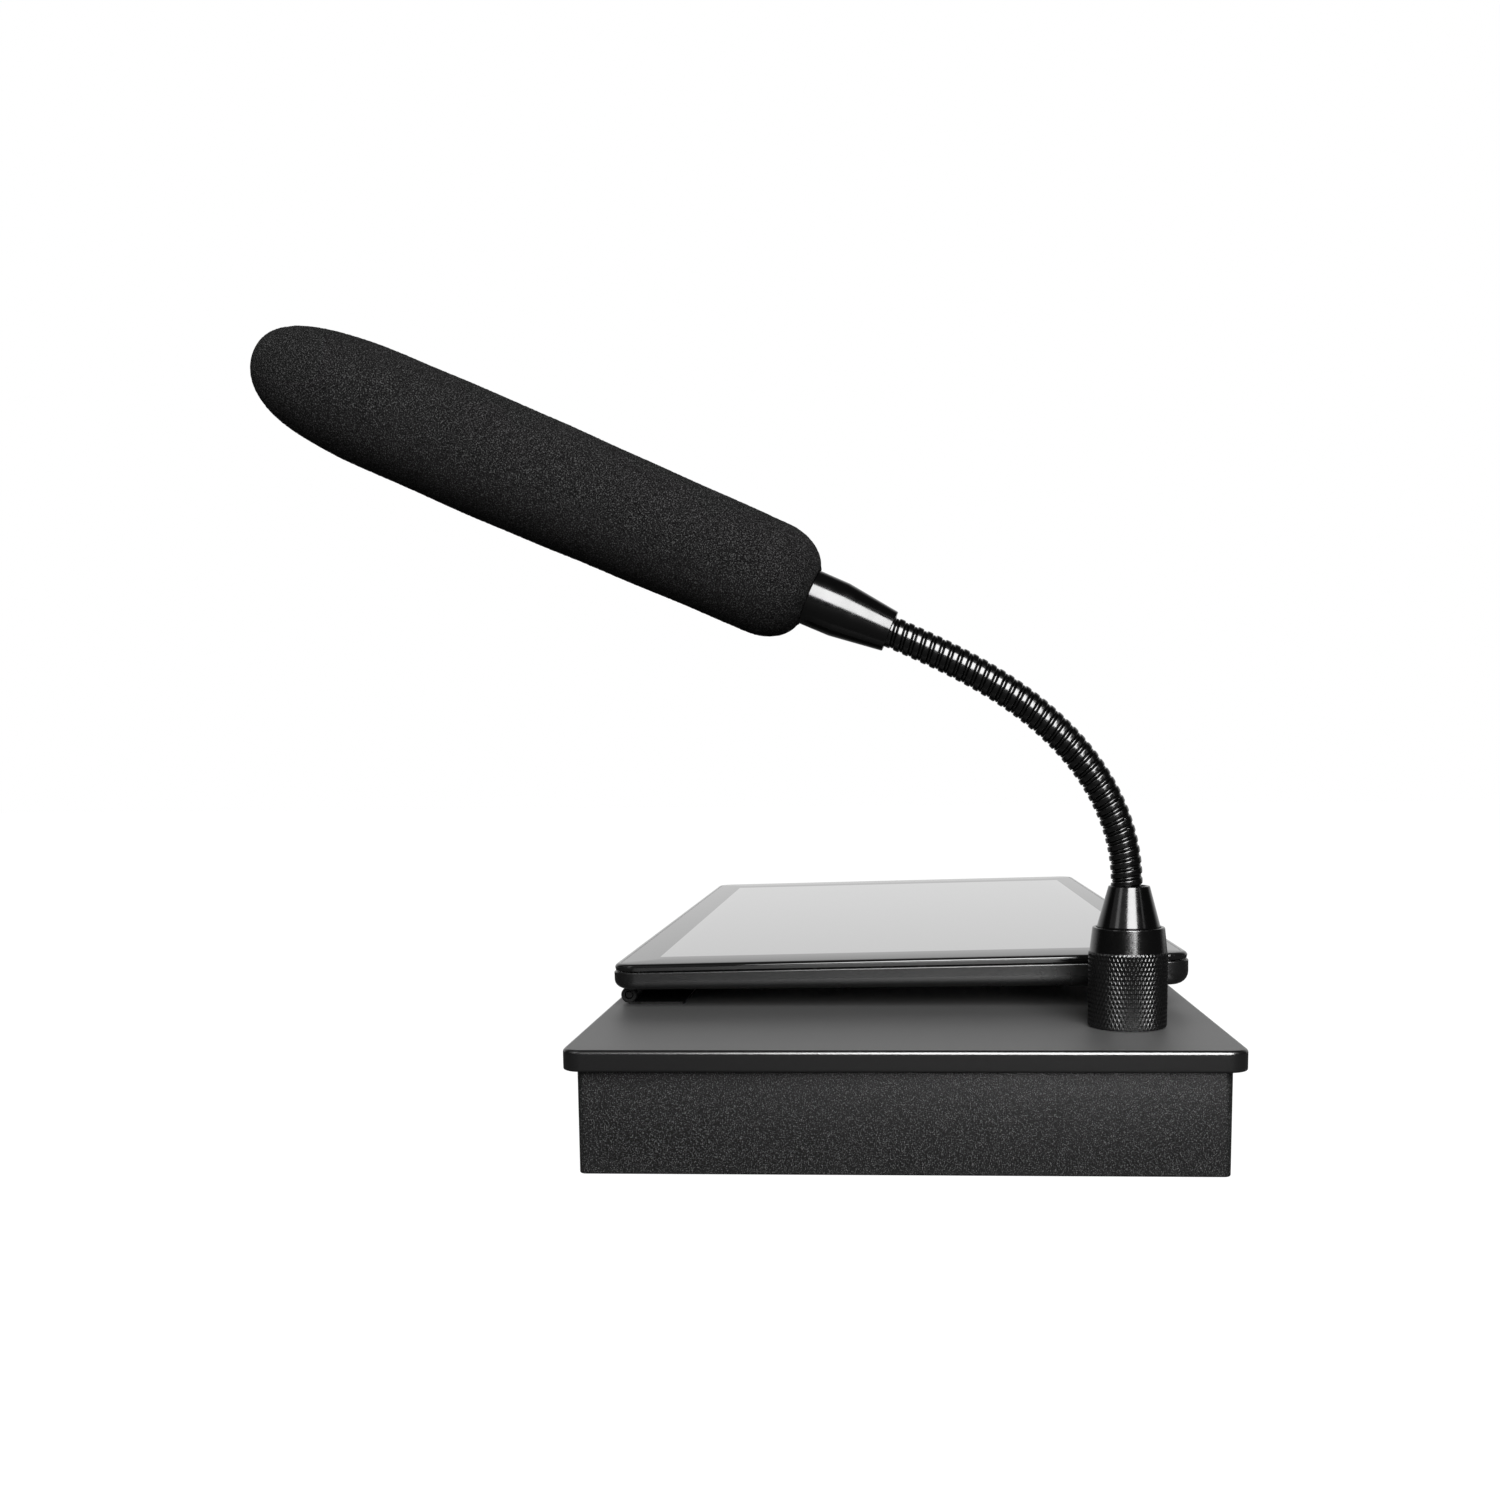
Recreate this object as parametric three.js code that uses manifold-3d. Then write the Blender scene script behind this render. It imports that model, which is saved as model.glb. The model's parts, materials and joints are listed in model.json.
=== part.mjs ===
// Podium console: a gooseneck microphone with a foam windscreen and a hinged touch display on a
// flat desk base. Millimetres, +Z up, desk at Z = 0, presenter on the -Y side, origin under the
// middle of the base.
import * as THREE from "three";
import { mergeVertices } from "three/addons/utils/BufferGeometryUtils.js";
import Module from "manifold-3d";

const wasm = await Module();
wasm.setup();

const DEG = Math.PI / 180;
const GAP = 0.3; // clearance between pieces that touch
const THROUGH = 1; // how far a cutting tool runs past the face that it opens

// ---------------------------------------------------------------- driving dimensions

const plate = { length: 500, depth: 228.5, top: 43.5, thickness: 7.4, corner: 7, edge: 1.3 };
const pocket = { left: -228, right: 150, depth: 188, skin: 3 }; // under the plate, over the electronics
const housing = { inset: 4.7, wall: 2, corner: 2.5, innerCorner: 1, pillar: 12 };
const floor = { thickness: 2, corner: 1, boss: 3.4, bossTop: 6, bossHole: 4 };
const caseScrew = { radius: 1.5, hole: 1.9, head: 2.8, headHeight: 1.4, length: 40.5, depth: 41 };
const boardScrew = { radius: 1.2, hole: 1.6, head: 2.4, headHeight: 1.4, length: 4.6 };
const mainBoard = { x: -45, y: 22, length: 210, depth: 120, thickness: 1.6, hole: 6, corner: 2 };

// The display's own frame has its origin on top of the glass, at the middle of its front edge.
const display = { x: -36, y: -108.7, z: 61, tilt: 1.114 * DEG, lip: 3, corner: 9, front: 10.2, rear: 12.8 };
const glass = { length: 393.1, depth: 216.4, thickness: 1.1, corner: 6, ledge: 4 };
const bezel = { front: 13.1, rear: 9.7, right: 20.9, left: 28 };
const displayFrame = { height: 2.8, rise: 0.4, edge: 0.6, corner: 3 };
const cover = { wall: 2, round: 5, innerRound: 3.2 };
const vents = { count: 7, x: 60, pitch: 10, width: 4, front: 150, rear: 185 };
const panel = { margin: 2.5, bottom: -5.6, top: -1.6, corner: 1 };
const displayBoard = { left: -100, right: 20, front: 60, rear: 120, bottom: -8.6, top: -7.4 };
const hinge = { y: -107.2, z: 47.1, radius: 3.2, pin: 1.4, bore: 1.7, leaf: 1.2, rail: 0.85, wing: 22 };
const knuckles = { count: 9, inset: 12.2 }; // inset from each end of the glass
const bumper = { radius: 5, x: 150, y: 92, top: 52 };
const ribbon = { width: 22, thickness: 1, x: -80, y: -92, bottom: 16, top: 52.2, turn: 12, tail: 24 };
const ribbonSlot = { side: 2, front: 2 }; // clearance round the ribbon in the plate

const mic = { x: 200.3, y: 81 }; // axis of the microphone's socket
const ring = { radius: 13.95, rim: 12.65, bottom: 43.8, knurlTop: 70.6, top: 79.2, edge: 0.4, lip: 0.3 };
const shoulder = { radius: 9.8, low: 56.4 }; // inside the ring, under the cone
const socket = { radius: 11.2, bore: 8.4, flange: 13, flangeHeight: 1.5, bottom: 26, top: 53.5 };
const nut = { radius: 15.5, height: 4.5 };
const plug = { radius: 9.4, flange: 11, flangeHeight: 2.2, bore: 7.6, top: 79 };
const cone = { radius: 11.05, bottom: 70.2, tip: 7.2, top: 93.8, mouthDepth: 10.8, edge: 0.6 };
const contact = { count: 3, radius: 1.2, hole: 1.55, circle: 4, bottom: 44.5, top: 60 };
const insert = { bottom: 34, floor: 43, top: 62 }; // the contacts' insulators

const neck = { radius: 5.3, bore: 2.4, length: 130, bend: 66.4 * DEG, easing: 1.85, steps: 120 };
const segments = { count: 8, gap: 1.6, chamfer: 1.4, tuckLow: 9, tuckHigh: 3 };
const cable = { radius: 1.7 };

const ferrule = { start: 7.25, radius: 9.8, coneLength: 21, length: 33, mouth: 5.8, wall: 1.3, edge: 0.4 };
const tube = { radius: 9.3, wall: 0.9, start: 33.5, front: 225 };
const slots = { rows: 5, width: 2.2, start: 34, end: 6, share: 0.75 };
const capsule = { radius: 6.8, length: 7, z: 52, gasket: 5 };
const preamp = { halfWidth: 6.5, halfThickness: 0.6, bottom: 13, top: 46 };
const foam = { rear: 31.5, length: 213, rearRadius: 20.2, fullRadius: 21.5, bore: 10.1, tip: 14 };
const foamShoulder = { length: 14, depth: 9.5 };
const foamDome = { length: 40, bluntness: 0.8 };

// ---------------------------------------------------------------- solids

function solidOf(geometry) {
  const bare = geometry.clone();
  bare.deleteAttribute("normal");
  bare.deleteAttribute("uv");
  const merged = mergeVertices(bare, 1e-4);
  const vertProperties = new Float32Array(merged.attributes.position.array);
  const triVerts = new Uint32Array(merged.index.array);
  return new wasm.Manifold(new wasm.Mesh({ numProp: 3, vertProperties, triVerts }));
}

function geometryOf(solid) {
  const mesh = solid.getMesh();
  const geometry = new THREE.BufferGeometry();
  geometry.setAttribute("position", new THREE.BufferAttribute(mesh.vertProperties, 3));
  geometry.setIndex(new THREE.BufferAttribute(mesh.triVerts, 1));
  return geometry.toNonIndexed();
}

function join(...pieces) {
  return geometryOf(pieces.map(solidOf).reduce((whole, piece) => whole.add(piece)));
}

function cut(piece, ...tools) {
  return geometryOf(tools.map(solidOf).reduce((rest, tool) => rest.subtract(tool), solidOf(piece)));
}

function common(piece, other) {
  return geometryOf(solidOf(piece).intersect(solidOf(other)));
}

// A rounded rectangle centred on x, y in the XY plane.
function outline(length, depth, corner, x = 0, y = 0) {
  const [a, b] = [length / 2 - corner, depth / 2 - corner];
  const shape = new THREE.Shape();
  shape.absarc(x + a, y + b, corner, 0, 90 * DEG);
  shape.absarc(x - a, y + b, corner, 90 * DEG, 180 * DEG);
  shape.absarc(x - a, y - b, corner, 180 * DEG, 270 * DEG);
  shape.absarc(x + a, y - b, corner, 270 * DEG, 360 * DEG);
  return shape;
}

// A slab on that outline from z0 to z1, with its top and bottom edges rounded.
function slab(shape, z0, z1, edge = 0, edgeSteps = 2) {
  const geometry = new THREE.ExtrudeGeometry(shape, {
    depth: z1 - z0 - 2 * edge,
    bevelEnabled: edge > 0,
    bevelThickness: edge,
    bevelSize: edge,
    bevelOffset: -edge,
    bevelSegments: edgeSteps,
    curveSegments: 4,
  });
  return geometry.translate(0, 0, z0 + edge);
}

function box(x0, x1, y0, y1, z0, z1) {
  const geometry = new THREE.BoxGeometry(x1 - x0, y1 - y0, z1 - z0);
  return geometry.translate((x0 + x1) / 2, (y0 + y1) / 2, (z0 + z1) / 2);
}

// A box with its centre on x, y.
function block(x, y, halfX, halfY, z0, z1) {
  return box(x - halfX, x + halfX, y - halfY, y + halfY, z0, z1);
}

// An upright cylinder from z0 to z1.
function post(radius, z0, z1, x = 0, y = 0, sides = 14) {
  const geometry = new THREE.CylinderGeometry(radius, radius, z1 - z0, sides);
  return geometry.rotateX(90 * DEG).translate(x, y, (z0 + z1) / 2);
}

// A cylinder along X from x0 to x1.
function rod(radius, x0, x1, y, z, sides = 12) {
  const geometry = new THREE.CylinderGeometry(radius, radius, x1 - x0, sides);
  return geometry.rotateZ(90 * DEG).translate((x0 + x1) / 2, y, z);
}

// A solid of revolution about Z from [radius, height] pairs, run up the outside first.
function turned(profile, sides = 28) {
  const points = profile.map(([radius, height]) => new THREE.Vector2(radius, height));
  return new THREE.LatheGeometry(points, sides).rotateX(90 * DEG);
}

const closed = (profile) => [...profile, profile[0]];

function part(name, geometry, material) {
  const mesh = new THREE.Mesh(geometry, material);
  mesh.name = name;
  return mesh;
}

function group(x, y, z, ...children) {
  const made = new THREE.Group();
  made.position.set(x, y, z);
  made.add(...children.flat());
  return made;
}

// ---------------------------------------------------------------- materials

function finish(color, roughness, metalness) {
  return new THREE.MeshStandardMaterial({ color, roughness, metalness });
}

const satinBlack = () => finish(0x1b1b1c, 0.45, 0.4);
const powderCoat = () => finish(0x242425, 0.7, 0.2);
const glossBlack = () => finish(0x0d0d0e, 0.18, 0.6);
const displayPlastic = () => finish(0x161617, 0.4, 0.1);
const steel = () => finish(0xb8babd, 0.35, 1);
const brass = () => finish(0xc9a34e, 0.3, 1);
const boardGreen = () => finish(0x1f5a38, 0.6, 0);
const blackPlastic = () => finish(0x141414, 0.6, 0);
const rubber = () => finish(0x101010, 0.9, 0);
const foamBlack = () => finish(0x1c1c1c, 1, 0);
const glassDark = () => finish(0x08090a, 0.05, 0);

// ---------------------------------------------------------------- base

const plateBottom = plate.top - plate.thickness;
const houseLength = plate.length - 2 * housing.inset;
const houseDepth = plate.depth - 2 * housing.inset;
const rearFace = houseDepth / 2;

// The four corners of a rectangle centred on x, y.
function corners(halfX, halfY, x = 0, y = 0) {
  return [-1, 1].flatMap((sx) => [-1, 1].map((sy) => [x + sx * halfX, y + sy * halfY]));
}

const pillarInset = housing.wall + (housing.pillar - 1) / 2; // the pillars run into the walls
const caseCorners = corners(houseLength / 2 - pillarInset, houseDepth / 2 - pillarInset);
const boardCorners = corners(
  mainBoard.length / 2 - mainBoard.hole,
  mainBoard.depth / 2 - mainBoard.hole,
  mainBoard.x,
  mainBoard.y,
);

// Connectors in the rear wall: the place and size of each one's face, and of the mouth in it.
const ports = {
  power: { x: -150, z: 17, radius: 5.5, length: 15, mouth: 0.6 },
  network: { x: -112, z: 17, halfWidth: 8, halfHeight: 6.75, length: 20, mouth: 0.75 },
  video: { x: -75, z: 17, halfWidth: 7.5, halfHeight: 3, length: 12, mouth: 0.8 },
  audio: { x: -30, z: 18, radius: 11.5, length: 22, mouth: 0.78 },
};
const portProud = 0.5;
const audioPin = { radius: 1.2, circle: 4, share: 0.75 };

// A port's body from y0 to y1, with its face scaled and then grown by a margin.
function portSolid({ x, z, radius, halfWidth, halfHeight }, y0, y1, scale = 1, margin = 0) {
  if (radius) {
    const bore = radius * scale + margin;
    return new THREE.CylinderGeometry(bore, bore, y1 - y0, 18).translate(x, (y0 + y1) / 2, z);
  }
  const [w, h] = [halfWidth * scale + margin, halfHeight * scale + margin];
  return box(x - w, x + w, y0, y1, z - h, z + h);
}

function housingGeometry() {
  const inner = outline(houseLength - 2 * housing.wall, houseDepth - 2 * housing.wall, housing.innerCorner);
  const walls = cut(
    slab(outline(houseLength, houseDepth, housing.corner), 0, plateBottom),
    slab(inner, -THROUGH, plateBottom + THROUGH),
  );
  const half = housing.pillar / 2;
  const pillars = caseCorners.map(([x, y]) => block(x, y, half, half, floor.thickness + GAP, plateBottom));
  const holes = caseCorners.map(([x, y]) => post(caseScrew.hole, 0, plate.top, x, y));
  const openings = Object.values(ports).map((port) => {
    return portSolid(port, rearFace - port.length, rearFace + THROUGH, 1, GAP);
  });
  return cut(join(walls, ...pillars), ...holes, ...openings);
}

function bottomCoverGeometry() {
  const margin = housing.wall + GAP;
  const shape = outline(houseLength - 2 * margin, houseDepth - 2 * margin, floor.corner);
  const sheet = slab(shape, 0, floor.thickness);
  const bosses = boardCorners.map(([x, y]) => post(floor.boss, floor.thickness / 2, floor.bossTop, x, y, 10));
  const threads = boardCorners.map(([x, y]) => {
    return post(boardScrew.hole, floor.thickness, floor.thickness + floor.bossHole + THROUGH, x, y, 10);
  });
  const holes = caseCorners.flatMap(([x, y]) => [
    post(caseScrew.hole, -THROUGH, floor.thickness + THROUGH, x, y),
    post(caseScrew.head + GAP, -THROUGH, caseScrew.headHeight + GAP, x, y),
  ]);
  return cut(join(sheet, ...bosses), ...threads, ...holes);
}

// Solid round the edges and under the microphone, thinned to a skin over the electronics.
function topPlateGeometry() {
  const body = slab(outline(plate.length, plate.depth, plate.corner), plateBottom, plate.top, plate.edge);
  const [below, above] = [plateBottom - THROUGH, plate.top + THROUGH];
  const halfDepth = pocket.depth / 2;
  const hollow = box(pocket.left, pocket.right, -halfDepth, halfDepth, below, plate.top - pocket.skin);
  const socketHole = post(socket.radius + GAP, below, plate.top, mic.x, mic.y, 28);
  const seat = plate.top - socket.flangeHeight - GAP;
  const recess = post(socket.flange + GAP, seat, above, mic.x, mic.y, 28);
  const slotX = ribbon.width / 2 + ribbonSlot.side;
  const slotY = ribbon.thickness / 2 + ribbonSlot.front;
  const slot = block(ribbon.x, ribbon.y, slotX, slotY, below, above);
  const threads = caseCorners.map(([x, y]) => post(caseScrew.hole, below, caseScrew.depth, x, y));
  return cut(body, hollow, socketHole, recess, slot, ...threads);
}

function caseScrewGeometry() {
  const { radius, head, headHeight, length } = caseScrew;
  return turned([[0, 0], [head, 0], [radius, headHeight], [radius, length], [0, length]], 12);
}

function boardScrewGeometry() {
  const { radius, head, headHeight, length } = boardScrew;
  const seat = floor.bossTop + mainBoard.thickness + GAP + 0.1;
  const tip = seat - length;
  const top = seat + headHeight;
  return turned([[0, tip], [radius, tip], [radius, seat], [head, seat], [head, top], [0, top]], 10);
}

// A component soldered on a board: its middle, its size and how far it stands over the surface.
function component(surface, x, y, width, depth, height) {
  return block(x, y, width / 2, depth / 2, surface - 0.5, surface + height);
}

function mainBoardGeometry() {
  const { x, y, length, depth, thickness, corner } = mainBoard;
  const bottom = floor.bossTop + 0.2;
  const top = bottom + thickness;
  const sheet = slab(outline(length, depth, corner, x, y), bottom, top);
  const holes = boardCorners.map(([cx, cy]) => post(boardScrew.hole, 0, 20, cx, cy, 10));
  const processor = component(top, x, y + 5, 32, 32, 7); // with its heat sink
  const memory = component(top, x + 38, y + 12, 14, 30, 1.2);
  const audioCodec = component(top, x - 45, y - 20, 20, 20, 1.6);
  const powerConverter = component(top, x + 60, y - 25, 16, 24, 9);
  const ribbonSocket = component(top, x - 70, y + 25, 12, 18, 4);
  return cut(join(sheet, processor, memory, audioCodec, powerConverter, ribbonSocket), ...holes);
}

function portGeometry(port) {
  const body = portSolid(port, rearFace - port.length, rearFace + portProud);
  const mouthDepth = port.length * 0.7;
  const mouth = portSolid(port, rearFace - mouthDepth, rearFace + THROUGH, port.mouth);
  return cut(body, mouth);
}

function audioOutputGeometry() {
  const { x, z, length } = ports.audio;
  const pinLength = length * audioPin.share;
  const pins = threeRound(audioPin.circle).map(([dx, dz]) => {
    const pin = new THREE.CylinderGeometry(audioPin.radius, audioPin.radius, pinLength, 8);
    return pin.translate(x + dx, rearFace - length * 0.55, z + dz);
  });
  return join(portGeometry(ports.audio), ...pins);
}

// Three places evenly round a circle, the first one at the top.
function threeRound(radius) {
  return [90, 210, 330].map((angle) => [radius * Math.cos(angle * DEG), radius * Math.sin(angle * DEG)]);
}

function bumperGeometry(side) {
  return post(bumper.radius, plate.top, bumper.top, display.x + side * bumper.x, bumper.y);
}

function base() {
  const span = leafSpan();
  const pin = rod(hinge.pin, span.x0 + 1, span.x1 - 1, hinge.y, hinge.z, 8);
  const screws = (name, places, geometry) => {
    return places.map(([x, y], i) => group(x, y, 0, part(`${name}_${i + 1}`, geometry(), steel())));
  };
  return [
    part("base_housing", housingGeometry(), powderCoat()),
    part("bottom_cover", bottomCoverGeometry(), powderCoat()),
    part("top_plate", topPlateGeometry(), satinBlack()),
    ...screws("case_screw", caseCorners, caseScrewGeometry),
    part("main_board", mainBoardGeometry(), boardGreen()),
    ...screws("board_screw", boardCorners, boardScrewGeometry),
    part("power_inlet", portGeometry(ports.power), blackPlastic()),
    part("network_port", portGeometry(ports.network), steel()),
    part("video_port", portGeometry(ports.video), steel()),
    part("audio_output", audioOutputGeometry(), blackPlastic()),
    part("hinge_rail", hingeRailGeometry(span), satinBlack()),
    part("hinge_pin", pin, steel()),
    part("rest_bumper_left", bumperGeometry(-1), rubber()),
    part("rest_bumper_right", bumperGeometry(1), rubber()),
    part("display_cable", ribbonGeometry(), blackPlastic()),
  ];
}

// ---------------------------------------------------------------- display hinge

function leafSpan() {
  const half = glass.length / 2 - knuckles.inset;
  return { x0: display.x - half, x1: display.x + half };
}

// The X stretches of one leaf's knuckles: the odd ones are the rail's, the even ones the display's.
function knuckleSpans({ x0, x1 }, odd) {
  const width = (x1 - x0) / knuckles.count;
  const all = Array.from({ length: knuckles.count }, (_, i) => [x0 + i * width, x0 + (i + 1) * width]);
  return all.filter((_, i) => (i % 2 === 0) === odd);
}

// A flat leaf from z0 to z1 lying along +Y, with its knuckles round the hinge's axis.
function leafGeometry(span, odd, z0, z1) {
  const { radius, bore, wing, y, z } = hinge;
  const barrels = knuckleSpans(span, odd).flatMap(([a, b]) => [
    rod(radius, a + GAP, b - GAP, y, z),
    box(a + GAP, b - GAP, y, y + radius + 1, z0, z1),
  ]);
  const flat = box(span.x0, span.x1, y + radius + 0.5, y + wing, z0, z1);
  const hole = rod(bore, span.x0 - THROUGH, span.x1 + THROUGH, y, z, 10);
  return cut(join(flat, ...barrels), hole);
}

function hingeRailGeometry(span) {
  const slotX = ribbon.width / 2 + ribbonSlot.side;
  const slotY = ribbon.thickness / 2 + ribbonSlot.front;
  const slot = block(ribbon.x, ribbon.y, slotX, slotY, plateBottom, hinge.z);
  return cut(leafGeometry(span, true, plate.top + 0.02, plate.top + hinge.rail), slot);
}

// The display's leaf is notched so that it clears the ribbon as the display tilts.
function displayLeafGeometry() {
  const underside = display.z - display.front;
  const notchX = ribbon.width / 2 + ribbonWindow.side;
  const notch = box(
    ribbon.x - notchX,
    ribbon.x + notchX,
    ribbon.y - ribbonWindow.front,
    hinge.y + hinge.wing + THROUGH,
    plateBottom,
    display.z,
  );
  return cut(leafGeometry(leafSpan(), false, underside - hinge.leaf - 0.1, underside - 0.35), notch);
}

// ---------------------------------------------------------------- display

const displayMiddle = glass.depth / 2;
const displayDepth = glass.depth + 2 * display.lip;
const ribbonWindow = { side: 3, front: 6, rear: 7, top: -7 };

function displayOutline(inset, corner) {
  const length = glass.length + 2 * (display.lip - inset);
  return outline(length, displayDepth - 2 * inset, corner, 0, displayMiddle);
}

// Raises a solid by more and more towards the front, where the case is thinner than at the rear.
function wedged(geometry) {
  const slope = (display.rear - display.front) / displayDepth;
  const shear = new THREE.Matrix4().makeShear(0, 0, 0, -slope, 0, 0);
  return geometry.applyMatrix4(shear).translate(0, 0, slope * (glass.depth + display.lip));
}

// A tray whose lower edge is rounded all the way round, open at the top.
function rearCoverGeometry() {
  const below = -display.rear - THROUGH;
  const top = -displayFrame.height - GAP;
  const { wall, round, innerRound } = cover;
  const innerCorner = display.corner - wall;
  const body = wedged(slab(displayOutline(0, display.corner), -display.rear, display.rear, round, 3));
  const outer = common(body, box(-glass.length, glass.length, -glass.depth, 2 * glass.depth, below, top));
  const hollow = slab(displayOutline(wall, innerCorner), wall - display.rear, display.rear, innerRound);
  const openings = Array.from({ length: vents.count }, (_, i) => {
    const x = vents.x + i * vents.pitch;
    return box(x, x + vents.width, vents.front, vents.rear, below, wall + THROUGH - display.rear);
  });
  const [x, y] = [ribbon.x - display.x, ribbon.y - display.y];
  const halfWindow = ribbon.width / 2 + ribbonWindow.side;
  const window = box(
    x - halfWindow,
    x + halfWindow,
    y - ribbonWindow.front,
    y + ribbonWindow.rear,
    below,
    ribbonWindow.top,
  );
  return cut(outer, wedged(hollow), window, ...openings);
}

function displayFrameGeometry() {
  const { height, rise, edge, corner } = displayFrame;
  const band = slab(displayOutline(0, display.corner), -height, rise, edge);
  const seat = outline(glass.length + 2 * GAP, glass.depth + 2 * GAP, glass.corner, 0, displayMiddle);
  const opening = outline(
    glass.length - 2 * glass.ledge,
    glass.depth - 2 * glass.ledge,
    corner,
    0,
    displayMiddle,
  );
  return cut(band, slab(seat, -glass.thickness - GAP, THROUGH), slab(opening, -height - THROUGH, THROUGH));
}

function coverGlassGeometry() {
  const shape = outline(glass.length, glass.depth, glass.corner, 0, displayMiddle);
  return slab(shape, -glass.thickness, 0);
}

// The panel stands in the glass's clear area, which the bezels leave off centre.
function panelGeometry() {
  const length = glass.length - bezel.left - bezel.right + 2 * panel.margin;
  const depth = glass.depth - bezel.front - bezel.rear + 2 * panel.margin;
  const x = (bezel.left - bezel.right) / 2;
  const y = displayMiddle + (bezel.front - bezel.rear) / 2;
  return slab(outline(length, depth, panel.corner, x, y), panel.bottom, panel.top);
}

function displayBoardGeometry() {
  const { left, right, front, rear, bottom, top } = displayBoard;
  const controller = component(top, -60, 90, 22, 22, 1.2);
  const backlightDriver = component(top, -15, 80, 14, 10, 1.2);
  const panelSocket = component(top, -85, 105, 10, 20, 1.2);
  return join(box(left, right, front, rear, bottom, top), controller, backlightDriver, panelSocket);
}

function displayUnit() {
  const made = group(
    display.x,
    display.y,
    display.z,
    part("display_rear_cover", rearCoverGeometry(), displayPlastic()),
    part("display_frame", displayFrameGeometry(), displayPlastic()),
    part("cover_glass", coverGlassGeometry(), glassDark()),
    part("lcd_panel", panelGeometry(), blackPlastic()),
    part("display_board", displayBoardGeometry(), boardGreen()),
  );
  made.rotation.x = display.tilt;
  return made;
}

// Flat cable: up through the plate's slot into the display's window, and turned back inside the base.
function ribbonGeometry() {
  const { width, thickness, x, y, bottom, top, turn, tail } = ribbon;
  const [front, rear] = [y - thickness / 2, y + thickness / 2];
  const shape = new THREE.Shape();
  shape.moveTo(front, top);
  shape.lineTo(front, bottom + turn);
  shape.absarc(front + turn, bottom + turn, turn, 180 * DEG, 270 * DEG);
  shape.lineTo(y + tail, bottom);
  shape.lineTo(y + tail, bottom + thickness);
  shape.lineTo(front + turn, bottom + thickness);
  shape.absarc(front + turn, bottom + turn, turn - thickness, 270 * DEG, 180 * DEG, true);
  shape.lineTo(rear, top);
  shape.closePath();
  const geometry = new THREE.ExtrudeGeometry(shape, { depth: width, bevelEnabled: false, curveSegments: 6 });
  return geometry.rotateX(90 * DEG).rotateZ(90 * DEG).translate(x - width / 2, 0, 0);
}

// ---------------------------------------------------------------- microphone plug and socket

// These are drawn on Z and stand on the microphone's axis.
function socketGeometry() {
  const { radius, bore, flange, flangeHeight, bottom, top } = socket;
  const seat = plate.top - flangeHeight;
  const outside = [[radius, bottom], [radius, seat], [flange, seat], [flange, plate.top]];
  return turned(closed([[bore, bottom], ...outside, [radius, plate.top], [radius, top], [bore, top]]));
}

function nutGeometry() {
  const top = plateBottom - GAP;
  const bottom = top - nut.height;
  const hexagon = post(nut.radius, bottom, top, 0, 0, 6);
  return cut(hexagon, post(socket.radius + GAP, bottom - THROUGH, top + THROUGH, 0, 0, 28));
}

// The holes that the contacts stand in.
function contactHoles(z0, z1) {
  return threeRound(contact.circle).map(([x, y]) => post(contact.hole, z0, z1, x, y, 12));
}

function socketInsertGeometry() {
  const body = post(socket.bore - GAP, insert.bottom, socket.top - 0.2);
  return cut(body, ...contactHoles(insert.floor, contact.top));
}

function plugInsertGeometry() {
  const body = post(plug.bore - GAP, socket.top + 0.5, insert.top);
  return cut(body, ...contactHoles(insert.floor, insert.top + THROUGH));
}

function ringGeometry() {
  const { radius, rim, bottom, knurlTop, top, edge, lip } = ring;
  const [neckHole, thread] = [cone.radius + GAP + 0.05, socket.radius + GAP + 0.05];
  const ledge = cone.bottom - GAP;
  const knurl = [[radius - edge, bottom], [radius, bottom + edge], [radius, knurlTop - edge]];
  const taper = [[radius - edge, knurlTop], [rim, top - 0.5], [rim - lip, top], [neckHole, top]];
  const inside = [[neckHole, ledge], [shoulder.radius, ledge], [shoulder.radius, shoulder.low]];
  return turned(closed([[thread, bottom], ...knurl, ...taper, ...inside, [thread, shoulder.low]]), 32);
}

function plugBodyGeometry() {
  const { radius, flange, flangeHeight, bore, top } = plug;
  const low = socket.top + GAP;
  const step = low + flangeHeight;
  const outside = [[flange, low], [flange, step], [radius, step], [radius, top]];
  return turned(closed([[bore, low], ...outside, [bore, top]]));
}

function coneGeometry() {
  const { radius, bottom, tip, top, mouthDepth, edge } = cone;
  const [mouth, bore] = [neck.radius + GAP, plug.radius + GAP];
  const outside = [[radius, bottom], [radius, ring.top + edge], [tip + 0.3, top - edge], [tip, top]];
  const inside = [[mouth, top], [mouth, top - mouthDepth], [bore, plug.top + GAP]];
  return turned(closed([[bore, bottom], ...outside, ...inside]), 32);
}

// ---------------------------------------------------------------- gooseneck

// The neck leaves the cone upright and leans over towards the presenter: its lean grows fast at
// first and slowly near the microphone. A point's place is worked out from its distance along it.
const lean = (s) => neck.bend * (1 - (1 - THREE.MathUtils.clamp(s / neck.length, 0, 1)) ** neck.easing);

function neckPoint(s) {
  const point = { y: 0, z: cone.top + Math.min(s, 0) };
  const step = Math.max(s, 0) / neck.steps;
  for (let i = 0; i < neck.steps; i++) {
    const angle = lean((i + 0.5) * step);
    point.y -= Math.sin(angle) * step;
    point.z += Math.cos(angle) * step;
  }
  return point;
}

// Bends a straight solid that stands on Z so that its height becomes distance along the neck.
function alongNeck(geometry) {
  const position = geometry.attributes.position;
  for (let i = 0; i < position.count; i++) {
    const [x, across, s] = [position.getX(i), position.getY(i), position.getZ(i)];
    const [middle, angle] = [neckPoint(s), lean(s)];
    position.setXYZ(i, x, middle.y + across * Math.cos(angle), middle.z + across * Math.sin(angle));
  }
  return geometry;
}

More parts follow.
